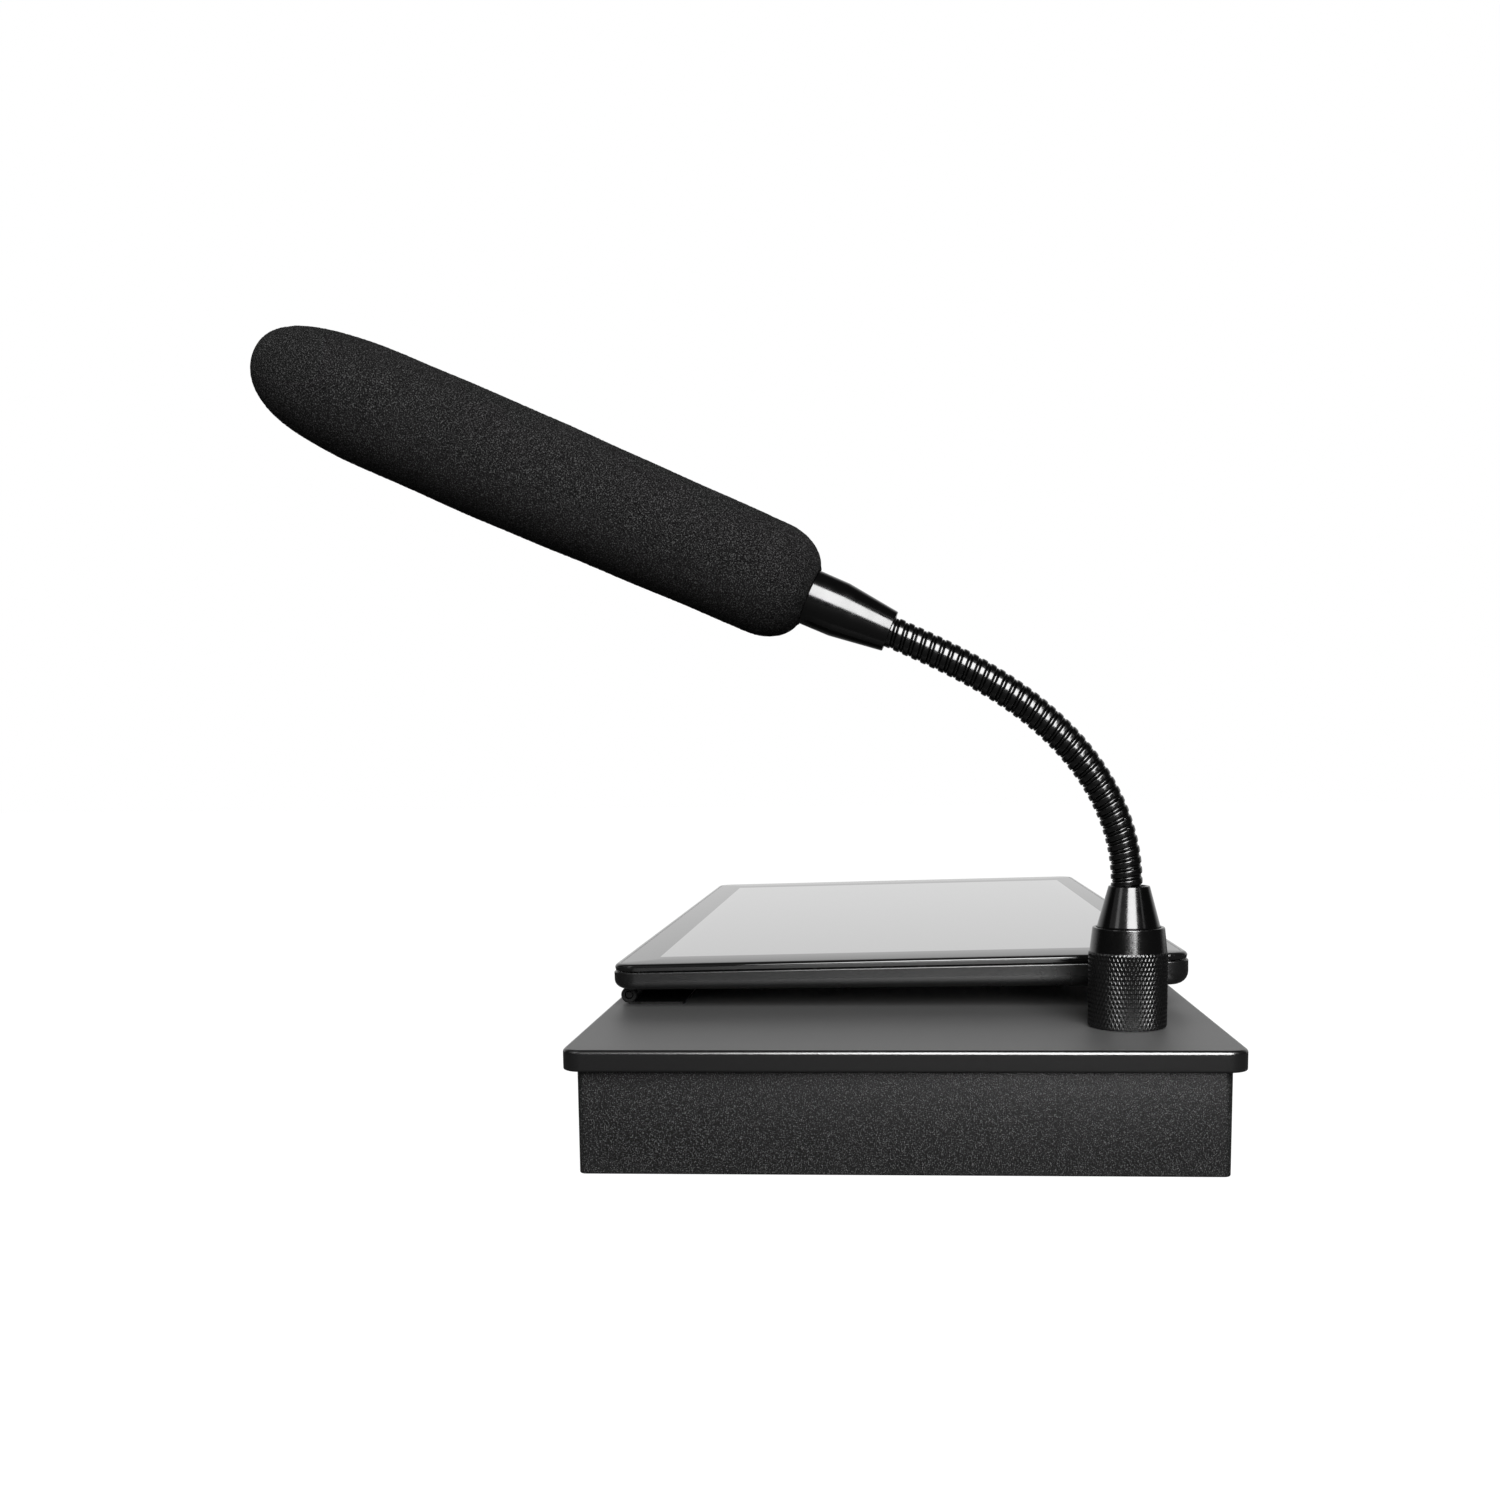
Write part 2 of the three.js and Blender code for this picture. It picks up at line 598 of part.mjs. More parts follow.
// Where segment number i starts and ends; the outer two run on into the cone and the ferrule.
function segmentSpan(i) {
  const { count, gap, tuckLow, tuckHigh } = segments;
  const pitch = neck.length / count;
  const start = i === 1 ? -tuckLow : (i - 1) * pitch + gap / 2;
  const end = i === count ? neck.length + tuckHigh : i * pitch - gap / 2;
  return [start, end];
}

function segmentGeometry(i) {
  const [start, end] = segmentSpan(i);
  const { radius, bore } = neck;
  const c = segments.chamfer;
  const middle = (start + end) / 2;
  const lower = [[radius - c, start], [radius, start + c], [radius, middle]];
  const upper = [[radius, end - c], [radius - c, end], [bore, end], [bore, middle]];
  return alongNeck(turned(closed([[bore, start], ...lower, ...upper]), 14));
}

function cableGeometry(i) {
  const [start, end] = segmentSpan(i);
  const heights = [start, (start + end) / 2, end];
  const profile = [[0, start], ...heights.map((height) => [cable.radius, height]), [0, end]];
  return alongNeck(turned(profile, 8));
}

// ---------------------------------------------------------------- microphone head

// These are drawn on Z from the end of the neck, then laid along the microphone's axis.
function ferruleGeometry() {
  const { start, radius, coneLength, length, mouth, wall, edge } = ferrule;
  const bore = radius - wall;
  const outside = [[start - edge, 0], [start, edge], [radius, coneLength], [radius, length]];
  const inside = [[bore, length], [bore, coneLength - 4], [mouth, 6]];
  return turned(closed([[mouth, 0], ...outside, ...inside]), 32);
}

// A slotted interference tube: its slots let sound in from the sides.
function tubeGeometry() {
  const { radius, wall, start, front } = tube;
  const inner = radius - wall;
  const shell = turned(closed([[inner, start], [radius, start], [radius, front], [inner, front]]), 24);
  const first = start + slots.start;
  const slotPitch = (front - slots.end - first) / slots.rows;
  const openings = Array.from({ length: slots.rows }, (_, i) => {
    const z = first + i * slotPitch;
    return box(-2 * radius, 2 * radius, -slots.width / 2, slots.width / 2, z, z + slotPitch * slots.share);
  });
  return cut(shell, ...openings);
}

function capsuleGeometry() {
  return post(capsule.radius, capsule.z, capsule.z + capsule.length);
}

function gasketGeometry() {
  const [inner, outer] = [capsule.radius + GAP, tube.radius - tube.wall - GAP];
  const [low, high] = [capsule.z, capsule.z + capsule.gasket];
  return turned(closed([[inner, low], [outer, low], [outer, high], [inner, high]]), 24);
}

function preampGeometry() {
  const { halfWidth, halfThickness, bottom, top } = preamp;
  const sheet = box(-halfWidth, halfWidth, -halfThickness, halfThickness, bottom, top);
  const transformer = box(-4, 4, 0, 2.6, 16, 26);
  const amplifier = box(-3, 3, 0, 2, 32, 38);
  return join(sheet, transformer, amplifier);
}

// A long foam sleeve: rounded shoulder at the rear, slightly fuller towards the domed front.
function windscreenGeometry() {
  const { rear, length, rearRadius, fullRadius, bore, tip } = foam;
  const front = rear + length;
  const shoulderArc = [0, 30, 60, 90].map((a) => [
    rearRadius - foamShoulder.depth * (1 - Math.sin(a * DEG)),
    rear + foamShoulder.length * (1 - Math.cos(a * DEG)),
  ]);
  const domeArc = [0, 15, 30, 45, 60, 75].map((a) => [
    fullRadius * Math.cos(a * DEG) ** foamDome.bluntness,
    front - foamDome.length * (1 - Math.sin(a * DEG)),
  ]);
  const inside = [[0, front], [0, front - tip], [bore, front - tip - 2]];
  return turned(closed([[bore, rear], ...shoulderArc, ...domeArc, ...inside]), 28);
}

function headUnit() {
  const end = neckPoint(neck.length);
  const made = group(
    0,
    end.y,
    end.z,
    part("ferrule", ferruleGeometry(), glossBlack()),
    part("mic_tube", tubeGeometry(), satinBlack()),
    part("capsule", capsuleGeometry(), brass()),
    part("capsule_gasket", gasketGeometry(), rubber()),
    part("preamp_board", preampGeometry(), boardGreen()),
    part("windscreen", windscreenGeometry(), foamBlack()),
  );
  made.rotation.x = neck.bend;
  return made;
}

function contactPins() {
  return threeRound(contact.circle).map(([x, y], i) => {
    const geometry = post(contact.radius, contact.bottom, contact.top, x, y, 10);
    return part(`contact_pin_${i + 1}`, geometry, brass());
  });
}

function microphone() {
  const numbers = Array.from({ length: segments.count }, (_, i) => i + 1);
  return group(
    mic.x,
    mic.y,
    0,
    part("mic_socket", socketGeometry(), steel()),
    part("socket_nut", nutGeometry(), steel()),
    part("socket_insert", socketInsertGeometry(), blackPlastic()),
    part("locking_ring", ringGeometry(), satinBlack()),
    part("plug_body", plugBodyGeometry(), steel()),
    part("plug_cone", coneGeometry(), glossBlack()),
    part("plug_insert", plugInsertGeometry(), blackPlastic()),
    contactPins(),
    numbers.map((i) => part(`neck_segment_${i}`, segmentGeometry(i), glossBlack())),
    numbers.map((i) => part(`neck_cable_${i}`, cableGeometry(i), rubber())),
    headUnit(),
  );
}

const podiumConsole = new THREE.Group();
const hingeLeaf = part("hinge_leaf", displayLeafGeometry(), satinBlack());
podiumConsole.add(...base(), hingeLeaf, displayUnit(), microphone());

export default podiumConsole;
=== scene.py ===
"""Looks of the podium console: foam, hose, knurl, plates, glass and studio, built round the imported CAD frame.

Metres, +Z up, presenter on the -Y side. Places and sizes come from the frame. Profiles are written in
millimetres, and MM turns them into metres.
"""
import json
import math

import bpy
import numpy as np
from mathutils import Matrix, Vector, noise


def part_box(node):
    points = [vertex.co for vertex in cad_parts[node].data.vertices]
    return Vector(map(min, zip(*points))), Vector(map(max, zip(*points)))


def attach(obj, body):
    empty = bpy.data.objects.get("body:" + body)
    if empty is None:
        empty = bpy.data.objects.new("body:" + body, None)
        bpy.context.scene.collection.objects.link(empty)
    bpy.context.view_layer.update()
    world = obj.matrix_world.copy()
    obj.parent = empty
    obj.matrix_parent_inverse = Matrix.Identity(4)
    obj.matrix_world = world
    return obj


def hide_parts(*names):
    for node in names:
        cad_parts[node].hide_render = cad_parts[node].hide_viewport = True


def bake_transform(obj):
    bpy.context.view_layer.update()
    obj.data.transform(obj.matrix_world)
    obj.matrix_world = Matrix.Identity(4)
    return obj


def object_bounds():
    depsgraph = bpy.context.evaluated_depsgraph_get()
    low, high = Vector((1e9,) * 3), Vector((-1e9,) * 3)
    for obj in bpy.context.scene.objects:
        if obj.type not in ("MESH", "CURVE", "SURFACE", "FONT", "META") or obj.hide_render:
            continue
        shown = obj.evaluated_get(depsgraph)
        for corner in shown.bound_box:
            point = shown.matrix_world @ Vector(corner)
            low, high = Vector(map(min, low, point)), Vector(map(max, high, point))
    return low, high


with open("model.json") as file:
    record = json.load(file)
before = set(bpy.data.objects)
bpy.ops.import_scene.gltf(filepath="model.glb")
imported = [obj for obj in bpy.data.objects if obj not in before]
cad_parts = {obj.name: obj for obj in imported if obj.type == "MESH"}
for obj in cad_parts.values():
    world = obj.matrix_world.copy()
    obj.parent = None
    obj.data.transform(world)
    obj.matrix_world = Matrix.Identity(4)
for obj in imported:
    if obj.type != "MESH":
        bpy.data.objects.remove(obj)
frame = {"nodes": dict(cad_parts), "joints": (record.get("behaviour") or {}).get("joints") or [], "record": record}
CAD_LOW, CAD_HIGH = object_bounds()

MM = 0.001
DEG = math.pi / 180

# Fineness of the meshes.
CORNER_STEPS = 12  # segments in a plan corner
FILLET_STEPS = 6  # segments in a rounded edge
SUPPORT = 0.15  # mm of flat strip beside a rounded edge, which keeps the flat face's shading flat

# Detail finer than the CAD frame, in millimetres unless a unit is given.
HOUSING_WALL = 2
HOUSING_CORNER = 2.5
PLATE_CORNER = 7
DISPLAY_CORNER = 9.5
DISPLAY_SIZE = (399.1, 222.4)
DISPLAY_FRONT = 10.2  # thickness along the presenter's edge
DISPLAY_REAR = 12.8
DISPLAY_TILT = 1.114 * DEG
GLASS_SIZE = (393.1, 216.4)
GLASS_THICKNESS = 1.1
FRAME_HEIGHT = 2.8
SEAM = 0.35

HOSE_RADIUS = 5.55
HOSE_PITCH = 3.5  # one turn of the coil
NECK_LENGTH = 130
NECK_EASING = 1.85  # how the neck's lean grows, as in the CAD segments
NECK_FOOT_SET = -0.9  # how far the bent hose has settled off the CAD's middle line, across its bend
NECK_HEAD_SET = 0.6
KNURL_AROUND = 60  # diamonds round the ring
KNURL_HEIGHT = 3.24  # height of one diamond
KNURL_DEPTH = 0.26
KNURL_STEPS = 10  # points round one diamond, and up it
KNURL_WALL = 0.6  # share of the way from groove to ridge that is wall; the rest is flat land

# Base fittings: radii, unless the name says otherwise.
SCREW_HEAD = 2.8
SCREW_SHANK = 1.5
SCREW_RECESS = 1.15
POWER_MOUTH = (3.3, 10)  # radius and depth
AUDIO_MOUTH = (9, 15.5)
CONTACT_PITCH = 1.02

HINGE_KNUCKLES = 9
HINGE_BARREL = 3.2
HINGE_BORE = 1.7
HINGE_GAP = 0.3
RAIL_THICKNESS = 0.83
LEAF_THICKNESS = 1.05

# Socket, plug and locking ring: radii, unless the name says otherwise.
SOCKET_BORE = 8.4
SOCKET_BODY = 11.0
SOCKET_FLANGE = 13.0
THREAD_RADIUS = 11.1
THREAD_DEPTH = 0.55
THREAD_PITCH = 1.25
THREAD_STEP = 0.15  # between the loops that draw the thread
PLUG_BORE = 7.6
PLUG_RADIUS = 9.4
PLUG_FLANGE = (11, 2.2)  # radius and height
RING_TAPER = 8.6  # height of the plain part above the knurl
RING_BORE = 11.6
RING_COLLAR = 9.8  # bore above the step
RING_STEP = 56.4  # height of the step inside the ring
CONE_TIP = 7.2
CONE_BORE = 6.0

# Microphone head: lengths are along its axis, from the neck's end.
FERRULE_LENGTH = 33
FERRULE_REAR = 7.25
FERRULE_FRONT = 9.8
FERRULE_SWELL = 20  # where it reaches nearly its full radius
TUBE_START = 33.5
TUBE_FRONT = 225
TUBE_RADIUS = 9.3
TUBE_BORE = 8.4
TUBE_ROWS = 5
SLOT_WIDTH = 2.2

FOAM_CELL = 0.55
FOAM_REAR = 31.3
FOAM_FRONT = 243.6
FOAM_BORE = 10.1
FOAM_TIP = 79.5  # length of the tapering front part
FOAM_TIP_ROOT = 2.3  # the tip's outline: (radius share) ** 2.3 + (length share) ** 5 = 1
FOAM_TIP_POWER = 5
FOAM_SHOULDER = (16, 11.6)  # length and depth of the rolled rear edge
FOAM_STEP = 0.5  # between the loops along the foam


# ---------------------------------------------------------------- frame

joints = {joint["name"]: joint for joint in frame["joints"]}


def node_centre(node):
    low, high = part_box(node)
    return (low + high) / 2


def node_size(node):
    """A node's size in millimetres."""
    low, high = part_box(node)
    return (high - low) / MM


def rear_port_place(node):
    """A place on a rear connector's face: local Z points out of the base, local X along it."""
    centre = node_centre(node)
    face = Vector((centre.x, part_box(node)[1].y, centre.z))
    return Matrix.Translation(face) @ Matrix.Rotation(-math.pi / 2, 4, "X")


# ---------------------------------------------------------------- mesh tools


def new_mesh(name, vertices, faces, sharp=35):
    """A smooth-shaded object from vertices and faces, with edges sharper than an angle kept sharp."""
    mesh = bpy.data.meshes.new(name)
    mesh.from_pydata([tuple(v) for v in vertices], [], faces)
    mesh.validate()
    shade(mesh, sharp)
    piece = bpy.data.objects.new(name, mesh)
    bpy.context.scene.collection.objects.link(piece)
    return piece


def shade(mesh, sharp):
    mesh.polygons.foreach_set("use_smooth", [True] * len(mesh.polygons))
    mesh.set_sharp_from_angle(angle=sharp * DEG)
    mesh.update()


def rounded(corners, closed=False):
    """A profile from (x, y, radius) corners, each turned into an arc with a short flat strip at both ends."""
    count = len(corners)
    points = []
    for i, (x, y, radius) in enumerate(corners):
        here = Vector((x, y))
        is_end = not closed and i in (0, count - 1)
        if is_end or radius == 0:
            points.append(here)
            continue
        before = Vector(corners[i - 1][:2])
        after = Vector(corners[(i + 1) % count][:2])
        to_before = (before - here).normalized()
        to_after = (after - here).normalized()
        half = to_before.angle(to_after) / 2
        reach = radius / math.tan(half)
        centre = here + (to_before + to_after).normalized() * (radius / math.sin(half))
        start = here + to_before * reach
        end = here + to_after * reach
        if radius > 2 * SUPPORT:
            points.append(start + to_before * SUPPORT)
        from_centre = start - centre
        sweep = from_centre.angle_signed(end - centre)
        for step in range(FILLET_STEPS + 1):
            turned = from_centre.copy()
            turned.rotate(Matrix.Rotation(-sweep * step / FILLET_STEPS, 2))
            points.append(centre + turned)
        if radius > 2 * SUPPORT:
            points.append(end + to_after * SUPPORT)
    return [tuple(p) for p in points]


def stacked(name, loops, closed=False, sharp=35):
    """A closed skin over loops of equal point count; its ends are capped, or joined when closed."""
    count = len(loops[0])
    vertices = [v for loop in loops for v in loop]
    faces = []
    pairs = len(loops) if closed else len(loops) - 1
    for i in range(pairs):
        a, b = i * count, ((i + 1) % len(loops)) * count
        for j in range(count):
            k = (j + 1) % count
            faces.append((a + j, a + k, b + k, b + j))
    if not closed:
        faces.append(tuple(reversed(range(count))))
        faces.append(tuple(range((len(loops) - 1) * count, len(loops) * count)))
    return new_mesh(name, vertices, faces, sharp)


def ring_loop(radius, height, place, segments):
    """Points round place's Z axis, where the radius may be a number or a function of the point's number."""
    points = []
    for j in range(segments):
        angle = 2 * math.pi * j / segments
        r = radius(j) if callable(radius) else radius
        points.append(place @ (Vector((r * math.cos(angle), r * math.sin(angle), height)) * MM))
    return points


def lathe(name, profile, place, segments=96, closed=False, sharp=35):
    """A solid of revolution about place's Z axis from (radius, height) points."""
    loops = [ring_loop(radius, height, place, segments) for radius, height in profile]
    return stacked(name, loops, closed, sharp)


def rectangle_loop(length, depth, corner):
    """Points of a rounded rectangle in the XY plane, anticlockwise, always the same number."""
    corner = max(corner, 0.02)
    points = []
    for quarter, (sx, sy) in enumerate(((1, 1), (-1, 1), (-1, -1), (1, -1))):
        centre_x = sx * (length / 2 - corner)
        centre_y = sy * (depth / 2 - corner)
        for step in range(CORNER_STEPS + 1):
            angle = (quarter + step / CORNER_STEPS) * math.pi / 2
            points.append((centre_x + corner * math.cos(angle), centre_y + corner * math.sin(angle)))
    return points


def slab(name, length, depth, corner, profile, place, closed=False, lift=lambda x, y, height: 0):
    """A rounded rectangle swept through (inset, height) points; lift raises each point by its place."""
    loops = []
    for inset, height in profile:
        loop = []
        for x, y in rectangle_loop(length - 2 * inset, depth - 2 * inset, corner - inset):
            loop.append(place @ (Vector((x, y, height + lift(x, y, height))) * MM))
        loops.append(loop)
    return stacked(name, loops, closed)


def combine(piece, operation, *tools):
    """Joins solids to a piece, or takes them out of it, and removes them."""
    for tool in tools:
        modifier = piece.modifiers.new("combine", "BOOLEAN")
        modifier.operation = operation
        modifier.solver = "EXACT"
        modifier.object = tool
    bpy.context.view_layer.update()
    depsgraph = bpy.context.evaluated_depsgraph_get()
    mesh = bpy.data.meshes.new_from_object(piece.evaluated_get(depsgraph))
    piece.modifiers.clear()
    piece.data = mesh
    shade(mesh, 35)
    for tool in tools:
        bpy.data.objects.remove(tool)
    return piece


def cut(piece, *tools):
    return combine(piece, "DIFFERENCE", *tools)


def fuse(piece, *tools):
    return combine(piece, "UNION", *tools)


def block(low, high, corner=0):
    """A box between two corners in metres, with its upright edges rounded."""
    low, high = Vector(low), Vector(high)
    size = (high - low) / MM
    half_height = size.z / 2
    place = Matrix.Translation((low + high) / 2)
    return slab("block", size.x, size.y, corner, [(0, -half_height), (0, half_height)], place)


def brick(size, centre, place, corner=0.0):
    """A box of a size about a centre, both in a place's own axes, with its edges along Z rounded."""
    half_height = size[2] / 2
    here = place @ Matrix.Translation(Vector(centre) * MM)
    return slab("brick", size[0], size[1], corner, [(0, -half_height), (0, half_height)], here)


def drill(radius, low, high, place, segments=64):
    """A cylinder along place's Z axis."""
    return lathe("drill", [(radius, low), (radius, high)], place, segments)


def dress(piece, look, body, slot_name, *nodes):
    """Gives a piece its look, the body that it rides on, and the CAD nodes that it stands for."""
    piece.data.materials.clear()
    piece.data.materials.append(LOOKS[look])
    if body:
        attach(piece, body)
    if nodes:
        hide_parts(*nodes)
    return piece


# ---------------------------------------------------------------- materials


def as_color(value):
    """A colour with its alpha, from a grey level or three numbers."""
    return (*value, 1) if isinstance(value, tuple) else (value, value, value, 1)


def math_node(tree, operation, *values):
    """The output of a math node on numbers or other nodes' outputs."""
    node = tree.nodes.new("ShaderNodeMath")
    node.operation = operation
    for socket, value in zip(node.inputs, values):
        if isinstance(value, bpy.types.NodeSocket):
            tree.links.new(value, socket)
        else:
            socket.default_value = value
    return node.outputs[0]


def fade(tree, source, start, end, level=1.0):
    """0 where the source is at start and level where it is at end, smooth between them."""
    node = tree.nodes.new("ShaderNodeMapRange")
    node.interpolation_type = "SMOOTHSTEP"
    node.inputs["From Min"].default_value = start
    node.inputs["From Max"].default_value = end
    node.inputs["To Max"].default_value = level
    tree.links.new(source, node.inputs["Value"])
    return node.outputs["Result"]


class Look:
    """A node material under construction: a Principled shader and helpers that feed its inputs."""

    def __init__(self, name, color, roughness, metallic=0.0, ior=1.5):
        self.material = bpy.data.materials.new(name)
        self.material.use_nodes = True
        self.tree = self.material.node_tree
        self.shader = self.tree.nodes["Principled BSDF"]
        self.set("Base Color", as_color(color))
        self.set("Roughness", roughness)
        self.set("Metallic", metallic)
        self.set("IOR", ior)

    def set(self, name, value):
        self.shader.inputs[name].default_value = value

    def node(self, kind, **values):
        node = self.tree.nodes.new(kind)
        for key, value in values.items():
            setattr(node, key, value)
        return node

    def link(self, source, target):
        self.tree.links.new(source, target)

    def feed(self, source, name):
        self.link(source, self.shader.inputs[name])

    def noise(self, size, detail=2.0, seed=0.0, stretch=(1, 1, 1)):
        """A noise value in object space whose blobs are about the given size in millimetres."""
        coordinates = self.node("ShaderNodeTexCoord")
        mapping = self.node("ShaderNodeMapping")
        mapping.inputs["Location"].default_value = (seed, seed, seed)
        mapping.inputs["Scale"].default_value = stretch
        texture = self.node("ShaderNodeTexNoise")
        texture.inputs["Scale"].default_value = 1 / (size * MM)
        texture.inputs["Detail"].default_value = detail
        self.link(coordinates.outputs["Object"], mapping.inputs["Vector"])
        self.link(mapping.outputs["Vector"], texture.inputs["Vector"])
        return texture.outputs["Fac"]

    def ramp(self, source, stops):
        """Maps a value through (position, grey or colour) stops."""
        node = self.node("ShaderNodeValToRGB")
        elements = node.color_ramp.elements
        while len(elements) < len(stops):
            elements.new(0.5)
        for element, (position, value) in zip(elements, stops):
            element.position = position
            element.color = as_color(value)
        self.link(source, node.inputs["Fac"])
        return node.outputs["Color"]

    def bump(self, height, distance, strength=1.0):
        node = self.node("ShaderNodeBump")
        node.inputs["Distance"].default_value = distance * MM
        node.inputs["Strength"].default_value = strength
        self.link(height, node.inputs["Height"])
        self.feed(node.outputs["Normal"], "Normal")


def powder_coat():
    look = Look("powder_coat", 0.01, 0.24)
    # The coat's random tone, whose brightest specks are painted glints standing in for the coat's sparkle.
    look.feed(look.ramp(look.noise(0.3, 1.5), [(0.5, 0.003), (0.6, 0.011), (0.7, 0.055)]), "Base Color")
    look.bump(look.noise(0.35, 1.0, 3.0), 0.06)
    return look.material


def satin_plate():
    """Satin paint whose top face is matt; the top face's colour is also painted paler than the sides, painted
    light for the brighter lit top.
    """
    look = Look("satin_plate", 0.004, 0.25, ior=1.85)
    coordinates = look.node("ShaderNodeTexCoord")
    split = look.node("ShaderNodeSeparateXYZ")
    look.link(coordinates.outputs["Normal"], split.inputs["Vector"])
    up = split.outputs["Z"]
    side, top = 0.97, 0.995
    # Painted light: where the face points up the colour is paler, for the lit top's brightness.
    look.feed(look.ramp(up, [(side, 0.003), (top, 0.01)]), "Base Color")
    look.feed(look.ramp(up, [(side, 0.35), (top, 1.0)]), "Specular IOR Level")
    look.feed(look.ramp(up, [(side, 0.22), (top, 0.5)]), "Roughness")
    look.bump(look.noise(0.35, 1.0, 1.0), 0.03)
    return look.material


def gloss_black():
    look = Look("gloss_black", 0.0006, 0.16)
    look.feed(look.ramp(look.noise(4, 5.0), [(0.3, 0.13), (0.7, 0.2)]), "Roughness")
    look.bump(look.noise(1.2, 3.0), 0.004)
    return look.material


def hose_black():
    look = Look("hose_black", 0.0006, 0.19, ior=1.55)
    look.feed(look.ramp(look.noise(2, 4.0), [(0.3, 0.17), (0.7, 0.21)]), "Roughness")
    look.bump(look.noise(0.5, 2.0), 0.01)
    return look.material


def piano_black():
    look = Look("piano_black", 0.003, 0.04)
    look.feed(look.ramp(look.noise(30, 4.0), [(0.3, 0.03), (0.7, 0.06)]), "Roughness")
    return look.material


def anodised_black():
    look = Look("anodised_black", 0.001, 0.17, ior=1.55)
    look.feed(look.ramp(look.noise(1.5, 4.0), [(0.3, 0.15), (0.7, 0.19)]), "Roughness")
    # Turning marks run round the axis, so they change only along it.
    look.bump(look.noise(0.16, 1.0, stretch=(0.25, 0.25, 1)), 0.014)
    return look.material


def painted_shade_black():
    """The hinge's dull black, darker than its satin finish: painted shade, which keeps the gap under the display
    dark.
    """
    look = Look("painted_shade_black", 0.002, 0.6)
    # Painted shade: near-black colour for the hinge under the display.
    look.feed(look.ramp(look.noise(0.8, 3.0), [(0.3, 0.001), (0.7, 0.004)]), "Base Color")
    look.set("Specular IOR Level", 0.15)
    return look.material


def foam_black():
    look = Look("foam_black", 0.01, 1.0)
    cells = look.noise(FOAM_CELL * 0.8, 2.0)
    # The colour follows the bump: darker where the relief sinks and paler where it rises, so the cells' grain is
    # partly painted shade in the pores and painted light on the crests.
    look.feed(look.ramp(cells, [(0.36, 0.001), (0.54, 0.006), (0.72, 0.04)]), "Base Color")
    look.bump(cells, 0.5)
    look.set("Specular IOR Level", 0.06)
    return look.material


def shell_plastic():
    look = Look("shell_plastic", 0.003, 0.27)
    look.feed(look.ramp(look.noise(12, 3.0), [(0.3, 0.25), (0.7, 0.28)]), "Roughness")
    look.bump(look.noise(0.4, 2.0), 0.03)
    return look.material


def display_glass():
    """Gloss glass over black ink; over the panel a second layer reflects too, which shows the lit area."""
    look = Look("display_glass", 0.003, 0.03)
    low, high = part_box("lcd_panel")
    margin = 2.5 * MM
    coordinates = look.node("ShaderNodeTexCoord")
    split = look.node("ShaderNodeSeparateXYZ")
    look.link(coordinates.outputs["Object"], split.inputs["Vector"])
    sides = []
    for axis, name in ((0, "X"), (1, "Y")):
        offset = math_node(look.tree, "SUBTRACT", split.outputs[name], (low[axis] + high[axis]) / 2)
        distance = math_node(look.tree, "ABSOLUTE", offset)
        half = (high[axis] - low[axis]) / 2 - margin
        sides.append(math_node(look.tree, "LESS_THAN", distance, half))
    inside = math_node(look.tree, "MULTIPLY", *sides)
    look.feed(look.ramp(inside, [(0.0, 0.003), (1.0, 0.012)]), "Base Color")
    look.feed(look.ramp(inside, [(0.0, 0.0), (1.0, 0.95)]), "Coat Weight")
    smudges = look.noise(40, 5.0)
    look.feed(look.ramp(smudges, [(0.35, 0.02), (0.75, 0.05)]), "Roughness")
    return look.material


def metal(name, color, roughness):
    look = Look(name, color, roughness, metallic=1.0)
    brushed = look.noise(0.4, 3.0, stretch=(1, 1, 0.1))
    look.feed(look.ramp(brushed, [(0.3, roughness - 0.08), (0.7, roughness + 0.1)]), "Roughness")
    look.bump(brushed, 0.01, 0.4)
    return look.material


def moulded(name, color, roughness):
    look = Look(name, color, roughness)
    paler = color * 1.5
    look.feed(look.ramp(look.noise(5, 4.0), [(0.3, color), (0.7, paler)]), "Base Color")
    look.bump(look.noise(0.35, 2.0), 0.03, 0.6)
    return look.material


def board_green():
    look = Look("board_green", (0.02, 0.12, 0.06), 0.5)
    tracks = look.noise(1.6, 1.0, stretch=(0.25, 1, 1))
    look.feed(look.ramp(tracks, [(0.48, (0.012, 0.09, 0.04)), (0.52, (0.03, 0.17, 0.08))]), "Base Color")
    look.bump(tracks, 0.02, 0.5)
    return look.material


LOOKS = {
    "powder_coat": powder_coat(),
    "satin_plate": satin_plate(),
    "gloss_black": gloss_black(),
    "knurled_black": anodised_black(),
    "foam": foam_black(),
    "display_shell": shell_plastic(),
    "display_glass": display_glass(),
    "steel": metal("steel", (0.62, 0.63, 0.65), 0.3),
    "hose_black": hose_black(),
    "piano_black": piano_black(),
    "painted_shade_black": painted_shade_black(),
    "brass": metal("brass", (0.78, 0.6, 0.28), 0.25),
    "tube_black": metal("tube_black", 0.03, 0.4),
    "black_plastic": moulded("black_plastic", 0.01, 0.5),
    "rubber": moulded("rubber", 0.01, 0.8),
    "board": board_green(),
}


def dress_cad_nodes():
    """Every CAD node that stays in view takes the look of its slot in the record."""
    for row in frame["record"]["subparts"]:
        node = frame["nodes"][row["node"]]
        node.data.materials.clear()
        node.data.materials.append(LOOKS[row["material_slot"]])
        shade(node.data, 30)


# ---------------------------------------------------------------- base

MIC_AXIS = node_centre("locking_ring")
MIC_PLACE = Matrix.Translation((MIC_AXIS.x, MIC_AXIS.y, 0))


